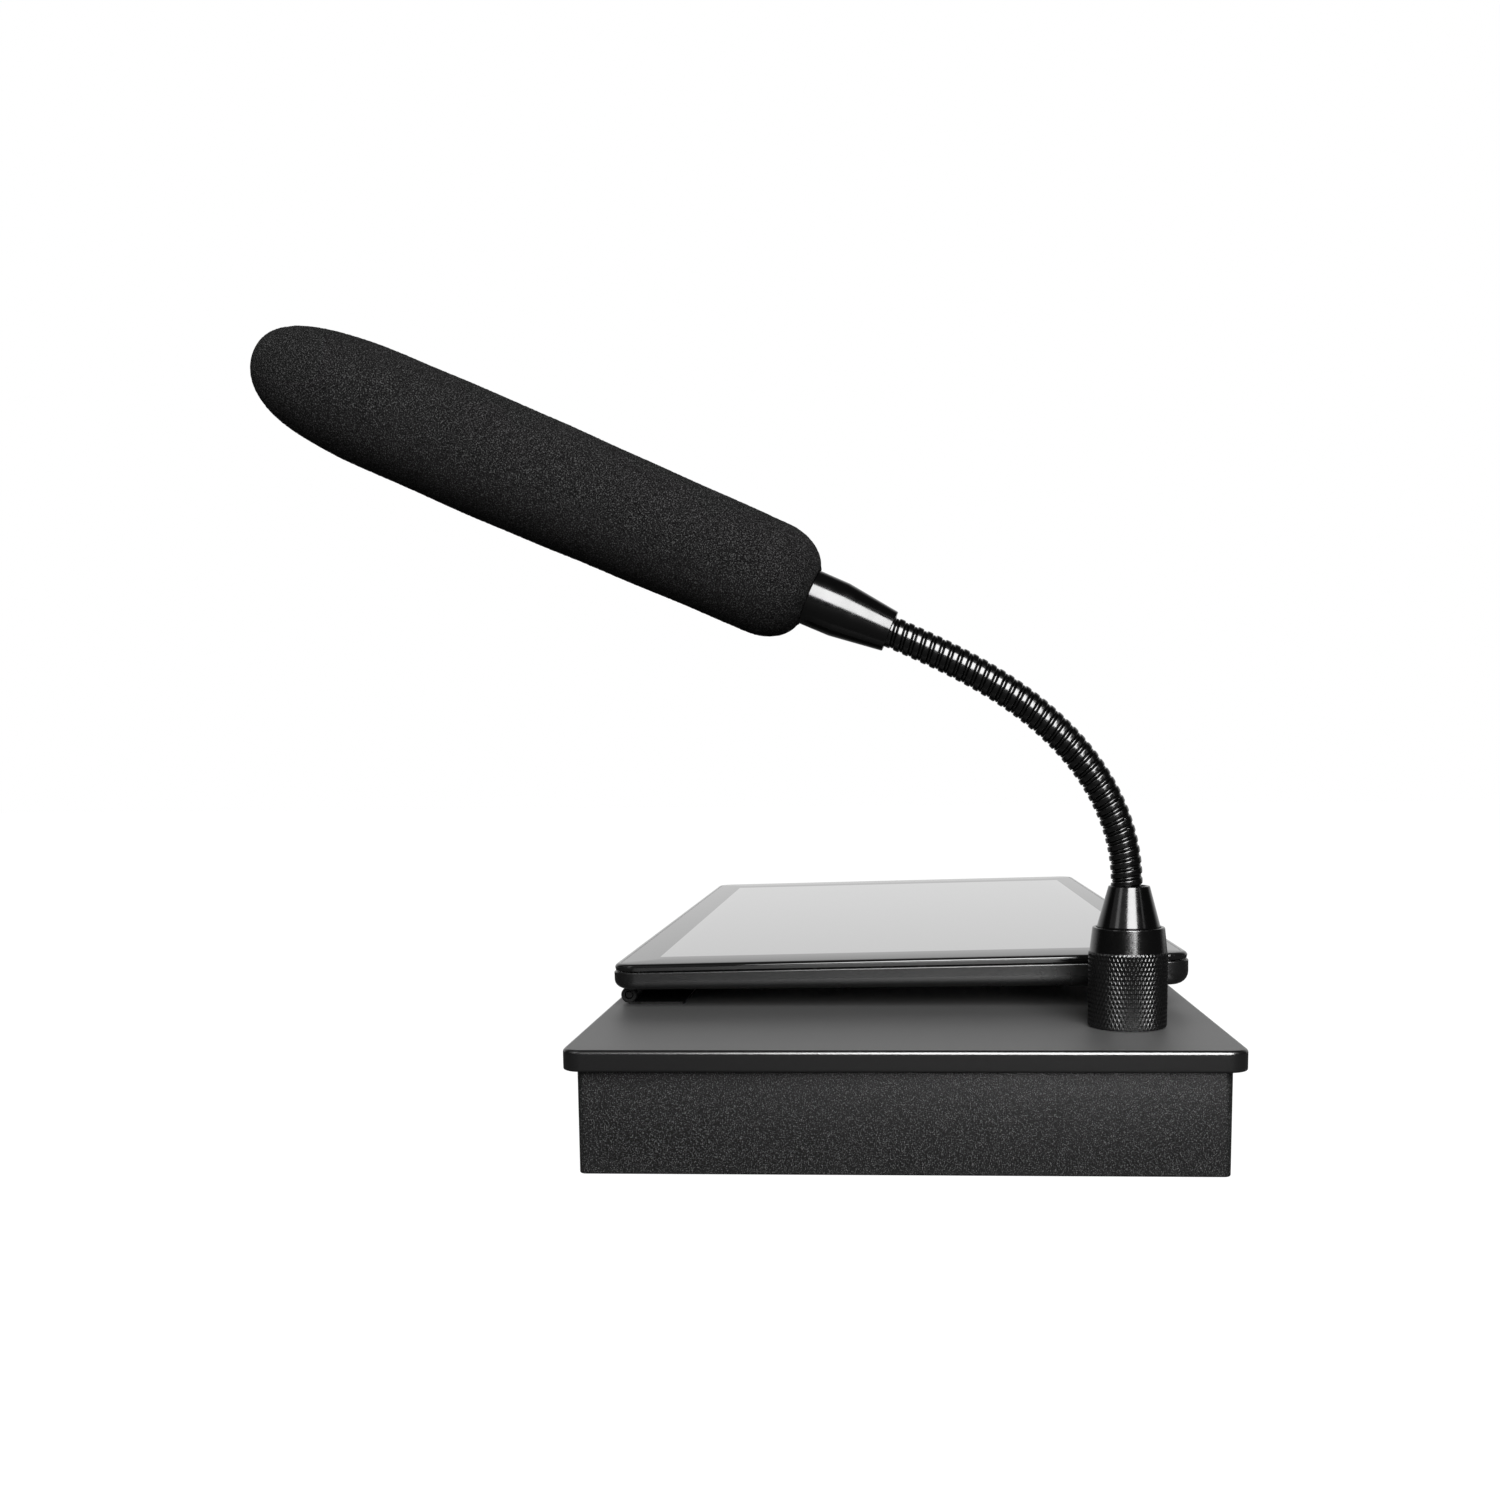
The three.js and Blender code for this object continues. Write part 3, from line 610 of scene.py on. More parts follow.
def top_plate():
    """The overhanging lid with its softly rounded rim, open round the socket and the display's cable."""
    low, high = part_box("top_plate")
    size = (high - low) / MM
    place = Matrix.Translation(((low.x + high.x) / 2, (low.y + high.y) / 2, low.z))
    profile = rounded([(30, 0, 0), (0, 0, 0.7), (0, size.z, 1.4), (30, size.z, 0)])
    piece = slab("top_plate_skin", size.x, size.y, PLATE_CORNER, profile, place)
    socket = drill(node_size("mic_socket").x / 2 + 0.3, low.z / MM - 1, high.z / MM + 1, MIC_PLACE)
    cable_low, cable_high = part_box("display_cable")
    room = Vector((2, 1.5, 0)) * MM
    slot_low = Vector((cable_low.x, cable_low.y, low.z - MM)) - room
    slot_high = Vector((cable_high.x, cable_low.y + MM, high.z + MM)) + room
    cut(piece, socket, block(slot_low, slot_high, 1))
    return dress(piece, "satin_plate", "base", "satin_plate", "top_plate")


def base_housing():
    """The powder-coated wall of the base, with its connectors' openings."""
    low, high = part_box("base_housing")
    size = (high - low) / MM
    place = Matrix.Translation(((low.x + high.x) / 2, (low.y + high.y) / 2, low.z))
    wall = HOUSING_WALL
    profile = rounded([(0, 0, 0.6), (0, size.z, 0.2), (wall, size.z, 0.2), (wall, 0, 0.4)], closed=True)
    piece = slab("base_housing_skin", size.x, size.y, HOUSING_CORNER, profile, place, closed=True)
    tools = []
    for port in ("network_port", "video_port"):
        size = node_size(port)
        tools.append(brick((size.x + 0.6, size.z + 0.6, 12), (0, 0, -3), rear_port_place(port), 0.5))
    for port in ("power_inlet", "audio_output"):
        tools.append(drill(node_size(port).z / 2 + 0.3, -9, 3, rear_port_place(port)))
    cut(piece, *tools)
    return dress(piece, "powder_coat", "base", "powder_coat", "base_housing")


def case_screws():
    """Countersunk screws with hexagonal recesses."""
    length = node_size("case_screw_1").z
    for i in range(1, 5):
        centre = node_centre(f"case_screw_{i}")
        place = Matrix.Translation((centre.x, centre.y, 0))
        profile = [
            (1.2, 0), (2.7, 0.03), (SCREW_HEAD, 0.12),
            (SCREW_SHANK, 1.4), (SCREW_SHANK, length - 0.5), (1.1, length),
        ]
        piece = lathe(f"case_screw_{i}_turned", profile, place, 48)
        cut(piece, drill(SCREW_RECESS, -1, 1.1, place, 6))
        dress(piece, "steel", "base", "steel", f"case_screw_{i}")


def round_connector(node, mouth, depth):
    """A turned connector shell with a mouth in its face, and its place."""
    place = rear_port_place(node)
    size = node_size(node)
    outer = size.z / 2
    body = size.y
    profile = rounded([
        (outer * 0.7, -body, 0), (outer, -body, 0.4), (outer, 0, 0.4),
        (mouth, 0, 0.3), (mouth, -depth, 0),
    ])
    piece = lathe(f"{node}_shell", profile, place, 72)
    return piece, place


def power_inlet():
    piece, place = round_connector("power_inlet", *POWER_MOUTH)
    dress(piece, "black_plastic", "base", "black_plastic", "power_inlet")
    pin = lathe("power_pin", [(1.0, -10.5), (1.0, -1.6), (0.8, -1.2), (0.3, -1.0)], place, 32)
    dress(pin, "steel", "base", "steel")


def audio_output():
    piece, place = round_connector("audio_output", *AUDIO_MOUTH)
    fuse(piece, brick((2.4, 1.6, 14), (0, 8.6, -8.4), place, 0.3))
    dress(piece, "black_plastic", "base", "black_plastic", "audio_output")
    for i, angle in enumerate((90, 210, 330)):
        offset = Matrix.Translation(Vector((math.cos(angle * DEG), -math.sin(angle * DEG), 0)) * 4 * MM)
        profile = [(1.2, -16), (1.2, -3.6), (1.0, -3.1), (0.5, -2.8)]
        pin = lathe(f"audio_pin_{i + 1}", profile, place @ offset, 32)
        dress(pin, "steel", "base", "steel")


def network_port():
    """A shielded jack with its eight contacts."""
    place = rear_port_place("network_port")
    width, depth, height = node_size("network_port")
    profile = [(0.6, -depth), (0, -depth + 0.4), (0, -0.4), (0.15, -0.1), (0.5, 0)]
    piece = slab("network_port_shell", width, height, 0.8, profile, place)
    mouth = brick((11.8, 7.0, 14), (0, -0.8, -6), place, 0.3)
    latch = brick((6.0, 3.0, 14), (0, 4.0, -6), place, 0.3)
    cut(piece, mouth, latch)
    dress(piece, "steel", "base", "steel", "network_port")
    for i in range(8):
        contact = brick((0.45, 0.5, 9), ((i - 3.5) * CONTACT_PITCH, -3.6, -7.5), place, 0.1)
        contact.name = f"network_contact_{i + 1}"
        dress(contact, "brass", "base", "brass")


def video_port():
    """A flat shielded socket with a contact tongue."""
    place = rear_port_place("video_port")
    width, depth, height = node_size("video_port")
    profile = [(0.5, -depth), (0, -depth + 0.4), (0, -0.3), (0.1, -0.08), (0.4, 0)]
    piece = slab("video_port_shell", width, height, 0.9, profile, place)
    cut(piece, brick((width - 1.2, height - 1.6, 12), (0, -0.3, -5), place, 0.8))
    dress(piece, "steel", "base", "steel", "video_port")
    tongue = brick((width - 3.4, 1.1, 8.5), (0, 0.2, -6), place, 0.3)
    tongue.name = "video_port_tongue"
    dress(tongue, "black_plastic", "base", "black_plastic")


def rest_bumpers():
    """Domed rubber pads that the display rests on."""
    for side in ("left", "right"):
        node = f"rest_bumper_{side}"
        centre = node_centre(node)
        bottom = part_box(node)[0].z / MM
        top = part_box(node)[1].z / MM
        place = Matrix.Translation((centre.x, centre.y, 0))
        profile = rounded([
            (4.4, bottom, 0), (5.0, bottom, 0.3), (4.7, top - 0.2, 1.2), (2.0, top, 0.6), (0.6, top, 0),
        ])
        piece = lathe(f"{node}_dome", profile, place, 48)
        dress(piece, "rubber", "base", "rubber", node)


# ---------------------------------------------------------------- display


def display_place():
    """The display's own frame: origin on top of the glass at its middle, tilted like the glass."""
    centre = node_centre("cover_glass")
    to_top = Matrix.Translation((0, 0, GLASS_THICKNESS / 2 * MM))
    return Matrix.Translation(centre) @ Matrix.Rotation(DISPLAY_TILT, 4, "X") @ to_top


def thinned(x, y, height):
    """How far a point below the seam rises towards the presenter's edge, where the case is thinner."""
    seam = -FRAME_HEIGHT - SEAM
    share = 0.5 - y / DISPLAY_SIZE[1]
    return (DISPLAY_REAR - DISPLAY_FRONT) * share * (seam - height) / (DISPLAY_REAR + seam)


def display():
    place = display_place()
    length, depth = GLASS_SIZE
    sheet = rounded([(20, -GLASS_THICKNESS, 0), (0, -GLASS_THICKNESS, 0.15), (0, 0, 0.08), (20, 0, 0)])
    glass = slab("cover_glass_sheet", length, depth, DISPLAY_CORNER - 3, sheet, place)
    dress(glass, "display_glass", "display", "display_glass", "cover_glass")

    length, depth = DISPLAY_SIZE
    foot = rounded([
        (2.9, -0.02, 0.05), (2.9, -1.4, 0.1), (7, -1.4, 0.1), (7, -FRAME_HEIGHT, 0.1),
        (0.7, -FRAME_HEIGHT, 0.2), (0.35, -1.25, 0.12), (0.6, -1.2, 0),
    ])
    # The rim rolls over to its side in a quarter ellipse.
    turns = [math.pi / 2 * i / 10 for i in range(11)]
    rim = [(0.6 + 2 * (1 - math.cos(turn)), 1.1 * (math.sin(turn) - 1)) for turn in turns]
    bezel = slab("display_frame_skin", length, depth, DISPLAY_CORNER, rim + foot, place, closed=True)
    dress(bezel, "piano_black", "display", "display_shell", "display_frame")

    top = -FRAME_HEIGHT - SEAM
    bottom = -DISPLAY_REAR
    outside = [(40, bottom, 0), (0, bottom, 5), (0, top, 0.6)]
    inside = [(2, top, 0.3), (2, bottom + 2, 3.2), (40, bottom + 2, 0)]
    tray_profile = rounded(outside + inside)
    tray = slab("display_rear_cover_skin", length, depth, DISPLAY_CORNER, tray_profile, place, lift=thinned)
    dress(tray, "display_shell", "display", "display_shell", "display_rear_cover")


def display_cable():
    """The flat cable between the base and the display, drawn as a straight ribbon."""
    low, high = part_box("display_cable")
    middle = Vector(((low.x + high.x) / 2, low.y + 0.5 * MM, 0))
    outline = rectangle_loop((high.x - low.x) / MM, 0.8, 0.35)
    steps = 24
    loops = []
    for i in range(steps + 1):
        z = low.z + (high.z - low.z) * i / steps
        loops.append([middle + Vector((x * MM, y * MM, z)) for x, y in outline])
    piece = stacked("display_cable_ribbon", loops)
    dress(piece, "black_plastic", None, "black_plastic", "display_cable")
    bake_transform(piece)


def hinge_leaf(node, first, body, flat_low, flat_high, notch):
    """One leaf: a flat strip with every second knuckle from the first one on, and a notch for the cable."""
    low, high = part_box("hinge_rail")
    node_low, node_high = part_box(node)
    pin = node_centre("hinge_pin")
    width = (high.x - low.x) / HINGE_KNUCKLES
    along = Matrix.Rotation(math.pi / 2, 4, "Y")
    radius = HINGE_BARREL
    leaf = block((node_low.x, pin.y + 3.4 * MM, flat_low), (node_high.x, node_high.y, flat_high), 1.5)
    knuckles = []
    for i in range(first, HINGE_KNUCKLES, 2):
        start = low.x + i * width + HINGE_GAP * MM
        end = start + width - 2 * HINGE_GAP * MM
        span = (end - start) / MM
        barrel = [(radius - 0.4, 0), (radius, 0.4), (radius, span - 0.4), (radius - 0.4, span)]
        knuckles.append(lathe("barrel", barrel, Matrix.Translation((start, pin.y, pin.z)) @ along, 32))
        knuckles.append(block((start, pin.y, flat_low), (end, pin.y + 4.5 * MM, flat_high)))
    fuse(leaf, *knuckles)
    bore_place = Matrix.Translation((low.x, pin.y, pin.z)) @ along
    cut(leaf, drill(HINGE_BORE, -1, (high.x - low.x) / MM + 1, bore_place, 32))
    cable_low, cable_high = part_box("display_cable")
    room_x, room_y = notch
    notch_low = Vector((cable_low.x - 3 * MM, cable_low.y - 3 * MM, node_low.z - MM))
    notch_high = Vector((cable_high.x + room_x * MM, cable_low.y + room_y * MM, node_high.z + MM))
    cut(leaf, block(notch_low, notch_high))
    leaf.name = f"{node}_knuckled"
    # The leaf takes the darker black, painted shade in the gap under the display.
    dress(leaf, "painted_shade_black", body, "satin_plate", node)


def hinge():
    """Two leaves with interleaved knuckles on a pin."""
    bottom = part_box("hinge_rail")[0].z
    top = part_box("hinge_leaf")[1].z
    hinge_leaf("hinge_rail", 0, "base", bottom, bottom + RAIL_THICKNESS * MM, (2, 3))
    hinge_leaf("hinge_leaf", 1, "display", top - LEAF_THICKNESS * MM, top, (3, 21))


# ---------------------------------------------------------------- socket and plug


def mic_socket():
    """The fixed socket with its external thread, which the locking ring screws on."""
    low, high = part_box("mic_socket")
    bottom, top = low.z / MM, high.z / MM
    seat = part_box("top_plate")[1].z / MM
    thread_top = top - 0.4
    segments = 96

    def crest(height):
        turns = height / THREAD_PITCH
        return lambda j: THREAD_RADIUS - THREAD_DEPTH * abs(((turns - j / segments) % 1) * 2 - 1)

    flange = [
        (SOCKET_BODY, seat - 1.5), (SOCKET_FLANGE - 0.4, seat - 1.5), (SOCKET_FLANGE, seat - 1.2),
        (SOCKET_FLANGE, seat), (THREAD_RADIUS - 0.5, seat),
    ]
    steps = round((thread_top - seat) / THREAD_STEP)
    heights = [seat + (thread_top - seat) * i / steps for i in range(1, steps + 1)]
    outline = [(SOCKET_BORE, bottom), (SOCKET_BODY, bottom)] + flange
    outline += [(crest(height), height) for height in heights]
    outline += [(THREAD_RADIUS - 0.9, top), (SOCKET_BORE, top)]
    piece = lathe("mic_socket_thread", outline, MIC_PLACE, segments, closed=True)
    dress(piece, "steel", "base", "steel", "mic_socket")


def plug_body():
    low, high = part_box("plug_body")
    bottom, top = low.z / MM, high.z / MM
    flange, height = PLUG_FLANGE
    shoulder = bottom + height
    profile = rounded([
        (PLUG_BORE, bottom, 0.3), (flange, bottom, 0.4), (flange, shoulder, 0.4),
        (PLUG_RADIUS, shoulder, 0.3), (PLUG_RADIUS, top, 0.3), (PLUG_BORE, top, 0.2),
    ], closed=True)
    piece = lathe("plug_body_turned", profile, MIC_PLACE, 96, closed=True)
    dress(piece, "steel", "mic_plug", "steel", "plug_body")


def contact_pins():
    for i in range(1, 4):
        node = f"contact_pin_{i}"
        low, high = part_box(node)
        centre = node_centre(node)
        place = Matrix.Translation((centre.x, centre.y, 0))
        bottom, top = low.z / MM, high.z / MM
        profile = [(0.4, bottom), (0.9, bottom + 0.25), (1.2, bottom + 0.9), (1.2, top)]
        piece = lathe(f"{node}_turned", profile, place, 32)
        dress(piece, "brass", "mic_plug", "brass", node)


def knurled_ring():
    """The locking ring: a diamond knurl below a plain taper with a thin rolled rim."""
    low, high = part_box("locking_ring")
    radius = (high.x - low.x) / 2 / MM
    bottom, top = low.z / MM, high.z / MM
    knurl_top = top - RING_TAPER
    mouth = top - RING_TAPER - 0.7
    rim = radius - 1.3
    segments = KNURL_AROUND * KNURL_STEPS
    row_height = KNURL_HEIGHT / KNURL_STEPS

    def knurl(height):
        along = (height - bottom) / KNURL_HEIGHT
        edge = min(height - bottom, knurl_top - height) / 0.5
        chamfer = max(0.0, 1 - edge) * 0.35

        def radius_at(j):
            around = j / segments * KNURL_AROUND
            ridge = min(1 - abs(((around + sign * along) % 1) * 2 - 1) for sign in (1, -1))
            below = KNURL_DEPTH * max(0.0, 1 - ridge / KNURL_WALL)
            return radius - below * min(1.0, edge + 0.2) - chamfer

        return radius_at

    outline = [(RING_BORE, bottom + 0.3), (RING_BORE + 0.3, bottom)]
    heights = np.append(np.arange(bottom, knurl_top - row_height / 2, row_height), knurl_top)
    outline += [(knurl(height), height) for height in heights]
    outline += rounded([
        (radius - 0.35, knurl_top, 0), (rim, top, 0.45), (rim - 1.3, top, 0.35), (rim - 1.3, mouth, 0.1),
        (RING_COLLAR, mouth, 0.1), (RING_COLLAR, RING_STEP, 0.1), (RING_BORE, RING_STEP, 0),
    ])
    piece = lathe("locking_ring_knurled", outline, MIC_PLACE, segments, closed=True, sharp=60)
    return dress(piece, "knurled_black", "locking_ring", "knurled_black", "locking_ring")


def plug_cone():
    """The polished cone that the hose comes out of."""
    low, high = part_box("plug_cone")
    radius = (high.x - low.x) / 2 / MM
    bottom, top = low.z / MM, high.z / MM
    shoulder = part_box("locking_ring")[1].z / MM + 0.4
    profile = rounded([
        (radius - 1.3, bottom, 0.2), (radius, bottom, 0.2), (radius, shoulder, 0.3), (CONE_TIP, top, 0.5),
        (CONE_BORE, top, 0.3), (CONE_BORE, top - 6, 0.2), (9.7, shoulder - 2, 0.2),
    ], closed=True)
    piece = lathe("plug_cone_skin", profile, MIC_PLACE, 128, closed=True)
    return dress(piece, "gloss_black", "mic_plug", "gloss_black", "plug_cone")


# ---------------------------------------------------------------- gooseneck

NECK_BEND = math.acos(joints["windscreen_slide"]["axis"][2])
NECK_FOOT = Vector((MIC_AXIS.x, MIC_AXIS.y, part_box("plug_cone")[1].z))


def neck_lean(s):
    share = min(max(s / NECK_LENGTH, 0), 1)
    return NECK_BEND * (1 - (1 - share) ** NECK_EASING)


def neck_path(step=0.1):
    """Distances along the neck, and the Y and Z of its middle line there, relative to its foot."""
    count = round(NECK_LENGTH / step)
    leans = [neck_lean((i + 0.5) * step) for i in range(count)]
    y = np.concatenate([[0], np.cumsum([-math.sin(a) * step for a in leans])])
    z = np.concatenate([[0], np.cumsum([math.cos(a) * step for a in leans])])
    return np.arange(count + 1) * step, y, z


PATH = neck_path()


def neck_frame(s):
    """The point at distance s along the neck, and its crosswise direction in the bending plane."""
    lean = neck_lean(s)
    over = s - min(max(s, 0), NECK_LENGTH)
    y = np.interp(s, PATH[0], PATH[1]) - math.sin(lean) * over
    z = np.interp(s, PATH[0], PATH[2]) + math.cos(lean) * over
    across = Vector((0, math.cos(lean), math.sin(lean)))
    settled = NECK_FOOT_SET + (NECK_HEAD_SET - NECK_FOOT_SET) * s / NECK_LENGTH
    return NECK_FOOT + (Vector((0, y, z)) + across * settled) * MM, across


HEAD_PLACE = Matrix.Translation(neck_frame(NECK_LENGTH)[0]) @ Matrix.Rotation(NECK_BEND, 4, "X")


def coil_depth(turn):
    """How far the hose's surface lies below its crest within a turn: wide band, then narrow band."""
    share = turn % 1.0
    wide, seam, narrow = 0.62, 0.06, 0.26
    if share < wide:
        across = abs(share / wide * 2 - 1)
        return 0.3 * across**6
    if share < wide + seam:
        return 0.85
    if share < wide + seam + narrow:
        across = abs((share - wide - seam) / narrow * 2 - 1)
        return 0.42 + 0.2 * across**4
    return 0.85


def hose_stretch(name, start, end, segments=48, step=0.14):
    """The coiled hose from one distance along the neck to another, as a closed solid."""
    count = max(2, round((end - start) / step))
    loops = []
    for i in range(count + 1):
        s = start + (end - start) * i / count
        middle, across = neck_frame(s)
        sideways = Vector((1, 0, 0))
        loop = []
        for j in range(segments):
            angle = 2 * math.pi * j / segments
            radius = (HOSE_RADIUS - coil_depth(s / HOSE_PITCH - j / segments)) * MM
            loop.append(middle + sideways * radius * math.cos(angle) + across * radius * math.sin(angle))
        loops.append(loop)
    return stacked(name, loops, sharp=50)


def gooseneck():
    """Hose pieces that each run curved from the middle of one neck body to the middle of the next, so that the
    coil runs on.
    """
    bodies = ["mic_plug"] + [f"neck_{i}" for i in range(2, 8)] + ["mic_head"]
    pitch = NECK_LENGTH / len(bodies)
    middles = [pitch * (i + 0.5) for i in range(len(bodies))]
    foot = hose_stretch("hose_foot", -6, middles[0])
    dress(foot, "hose_black", "mic_plug", "gloss_black", "neck_segment_1")
    for i in range(len(bodies) - 1):
        start, end = middles[i], middles[i + 1]
        piece = hose_stretch(f"hose_{i + 1}", start, end)
        dress(piece, "hose_black", None, "gloss_black", f"neck_segment_{i + 2}")
        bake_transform(piece)
    head = hose_stretch("hose_head", middles[-1], NECK_LENGTH + 4)
    dress(head, "hose_black", "mic_head", "gloss_black")


# ---------------------------------------------------------------- microphone head


def ferrule():
    """The turned sleeve between the hose and the windscreen."""
    rear, front, end = FERRULE_REAR, FERRULE_FRONT, FERRULE_LENGTH
    profile = rounded([
        (5.9, 0.6, 0.2), (rear, 0.6, 0.35), (front - 0.1, FERRULE_SWELL, 6), (front, end, 0.3),
        (8.5, end, 0.2), (8.5, 17, 0.3), (5.9, 6, 0.3),
    ], closed=True)
    piece = lathe("ferrule_skin", profile, HEAD_PLACE, 128, closed=True)
    return dress(piece, "gloss_black", "mic_head", "gloss_black", "ferrule")


def mic_tube():
    """The interference tube under the foam, with its rows of round-ended slots."""
    profile = rounded([
        (TUBE_BORE, TUBE_START, 0.1), (TUBE_RADIUS, TUBE_START, 0.2),
        (TUBE_RADIUS, TUBE_FRONT, 0.35), (TUBE_BORE, TUBE_FRONT, 0.2),
    ], closed=True)
    piece = lathe("mic_tube_slotted", profile, HEAD_PLACE, 96, closed=True)
    first = TUBE_START + 34
    pitch = (TUBE_FRONT - 6 - first) / TUBE_ROWS
    slot_length = pitch * 0.75
    lying = Matrix.Rotation(math.pi / 2, 4, "Y")
    slots = []
    for i in range(TUBE_ROWS):
        middle = first + i * pitch + slot_length / 2
        for turn in (0, 90):
            aim = Matrix.Rotation(turn * DEG, 4, "Z") @ Matrix.Translation((0, 0, middle * MM))
            slots.append(brick((slot_length, SLOT_WIDTH, 24), (0, 0, 0), HEAD_PLACE @ aim @ lying, 1.09))
    cut(piece, *slots)
    return dress(piece, "tube_black", "mic_head", "tube_black", "mic_tube")


def foam_body(z):
    """The sleeve's radius away from its ends: it swells slightly in the middle."""
    return 19.75 + 1.35 * math.exp(-(((z - 160) / 75) ** 2))


def foam_profile():
    """The foam's outline as (radius, height) points from the rear edge to the tip."""
    mouth = FOAM_BORE + 0.3
    points = []
    length, drop = FOAM_SHOULDER
    for z in np.arange(FOAM_REAR, FOAM_FRONT, FOAM_STEP):
        radius = foam_body(z)
        across = 1 - (z - FOAM_REAR) / length
        if across > 0:
            radius -= drop * (1 - math.sqrt(1 - across**2))
        along = (z - FOAM_FRONT) / FOAM_TIP + 1
        if along > 0:
            radius *= (1 - along**FOAM_TIP_POWER) ** (1 / FOAM_TIP_ROOT)
        if z > 100 and radius < 15:
            break
        points.append((max(radius, mouth), z))
    # Close to the tip the outline turns flat, so it goes on in even steps of radius.
    for radius in np.arange(points[-1][0] - FOAM_STEP, 0.3, -FOAM_STEP):
        share = radius / foam_body(FOAM_FRONT)
        along = (1 - share**FOAM_TIP_ROOT) ** (1 / FOAM_TIP_POWER)
        points.append((radius, FOAM_FRONT - FOAM_TIP * (1 - along)))
    return points


def foam_offset(z):
    """How far the foam sits off the tube's axis, towards its upper side; more beyond the tube's end."""
    offset = 0.2 + 0.9 * z / FOAM_FRONT
    tube_end = 222
    if z > tube_end:
        offset += 0.6 * ((z - tube_end) / (FOAM_FRONT - tube_end)) ** 2
    return offset


def windscreen():
    """The foam sleeve, with its open-cell grain as real relief on a fine mesh."""
    segments = 260
    inside = [(FOAM_BORE, z, 0) for z in (FOAM_FRONT - 16, 60, FOAM_REAR + 0.4)]
    outside = [(radius, z, 1) for radius, z in foam_profile()]
    loops = []
    for radius, z, strength in inside + outside:
        offset = foam_offset(z) * strength
        loop = []
        for j in range(segments):
            angle = 2 * math.pi * j / segments
            outward = Vector((math.cos(angle), math.sin(angle), 0))
            point = outward * radius + Vector((0, offset, z))
            relief = 0.18 * noise.noise(point / FOAM_CELL * 0.7) + 0.3 * noise.noise(point / 24)
            relief *= strength * min(1, radius / 8)
            loop.append(HEAD_PLACE @ ((point + outward * relief) * MM))
        loops.append(loop)
    piece = stacked("windscreen_foam", loops, sharp=180)
    return dress(piece, "foam", "windscreen", "foam", "windscreen")


# ---------------------------------------------------------------- studio

# The camera stands off the microphone's end of the console, a little above the plate.
CAMERA_DISTANCE = 517.4 * MM  # from the plate's near edge
CAMERA_ACROSS = -3.96 * MM
CAMERA_HEIGHT = 139.2 * MM
CAMERA_YAW = -3.453 * DEG
CAMERA_PITCH = 6.805 * DEG
CAMERA_ROLL = 0.577 * DEG
CAMERA_LENS = 38.1
CAMERA_SHIFT = (-0.0293, 0.1329)  # the picture is a crop that lies off the lens axis

BACKDROP_LEVEL = 0.76
ROOM_LEVEL = 0.03


def make_camera():
    data = bpy.data.cameras.new("camera")
    camera = bpy.data.objects.new("camera", data)
    bpy.context.scene.collection.objects.link(camera)
    data.lens = CAMERA_LENS
    data.sensor_width = 36
    data.clip_start = 0.01
    place = Vector((CAD_HIGH.x + CAMERA_DISTANCE, CAMERA_ACROSS, CAMERA_HEIGHT))
    forward = Vector((
        -math.cos(CAMERA_YAW) * math.cos(CAMERA_PITCH),
        math.sin(CAMERA_YAW) * math.cos(CAMERA_PITCH),
        -math.sin(CAMERA_PITCH),
    ))
    right = Vector((math.sin(CAMERA_YAW), math.cos(CAMERA_YAW), 0))
    down = forward.cross(right)
    rolled_right = right * math.cos(CAMERA_ROLL) + down * math.sin(CAMERA_ROLL)
    rolled_down = down * math.cos(CAMERA_ROLL) - right * math.sin(CAMERA_ROLL)
    turn = Matrix((rolled_right, -rolled_down, -forward)).transposed().to_4x4()
    camera.matrix_world = Matrix.Translation(place) @ turn
    # The off-axis crop belongs to this place only: seen from anywhere else, the picture is centred.
    for index, axis in enumerate(("shift_x", "shift_y")):
        driver = data.driver_add(axis).driver
        variable = driver.variables.new()
        variable.name = "x"
        variable.targets[0].id = camera
        variable.targets[0].data_path = "location.x"
        driver.expression = f"{CAMERA_SHIFT[index]} * (abs(x - {place.x:.6f}) < 0.0001)"
    bpy.context.scene.camera = camera


def make_rig():
    """An empty that turns with the camera, so that the console is lit alike from every side."""
    rig = bpy.data.objects.new("light_rig", None)
    bpy.context.scene.collection.objects.link(rig)
    camera = bpy.context.scene.camera
    driver = rig.driver_add("rotation_euler", 2).driver
    for axis in "xy":
        variable = driver.variables.new()
        variable.name = axis
        variable.targets[0].id = camera
        variable.targets[0].data_path = f"location.{axis}"
    at_rest = math.atan2(camera.location.y, camera.location.x)
    driver.expression = f"atan2(y, x) - ({at_rest:.6f})"
    return rig


def direction(azimuth, elevation):
    """A unit vector from the console: azimuth 0 is +X, the photographed side, and 90 is +Y."""
    a, e = azimuth * DEG, elevation * DEG
    return Vector((math.cos(a) * math.cos(e), math.sin(a) * math.cos(e), math.sin(e)))


def softbox(rig, name, azimuth, elevation, distance, size, watts, roll=0, target=(0.2, 0.0, 0.1)):
    """A rectangular light that faces the target from a direction; roll leans its top towards +Y."""
    data = bpy.data.lights.new(name, "AREA")
    data.shape = "RECTANGLE"
    data.size, data.size_y = size
    data.energy = watts
    light = bpy.data.objects.new(name, data)
    bpy.context.scene.collection.objects.link(light)
    place = Vector(target) + direction(azimuth, elevation) * distance
    turn = (Vector(target) - place).to_track_quat("-Z", "Y").to_matrix().to_4x4()
    light.parent = rig
    light.matrix_local = Matrix.Translation(place) @ turn @ Matrix.Rotation(-roll * DEG, 4, "Z")


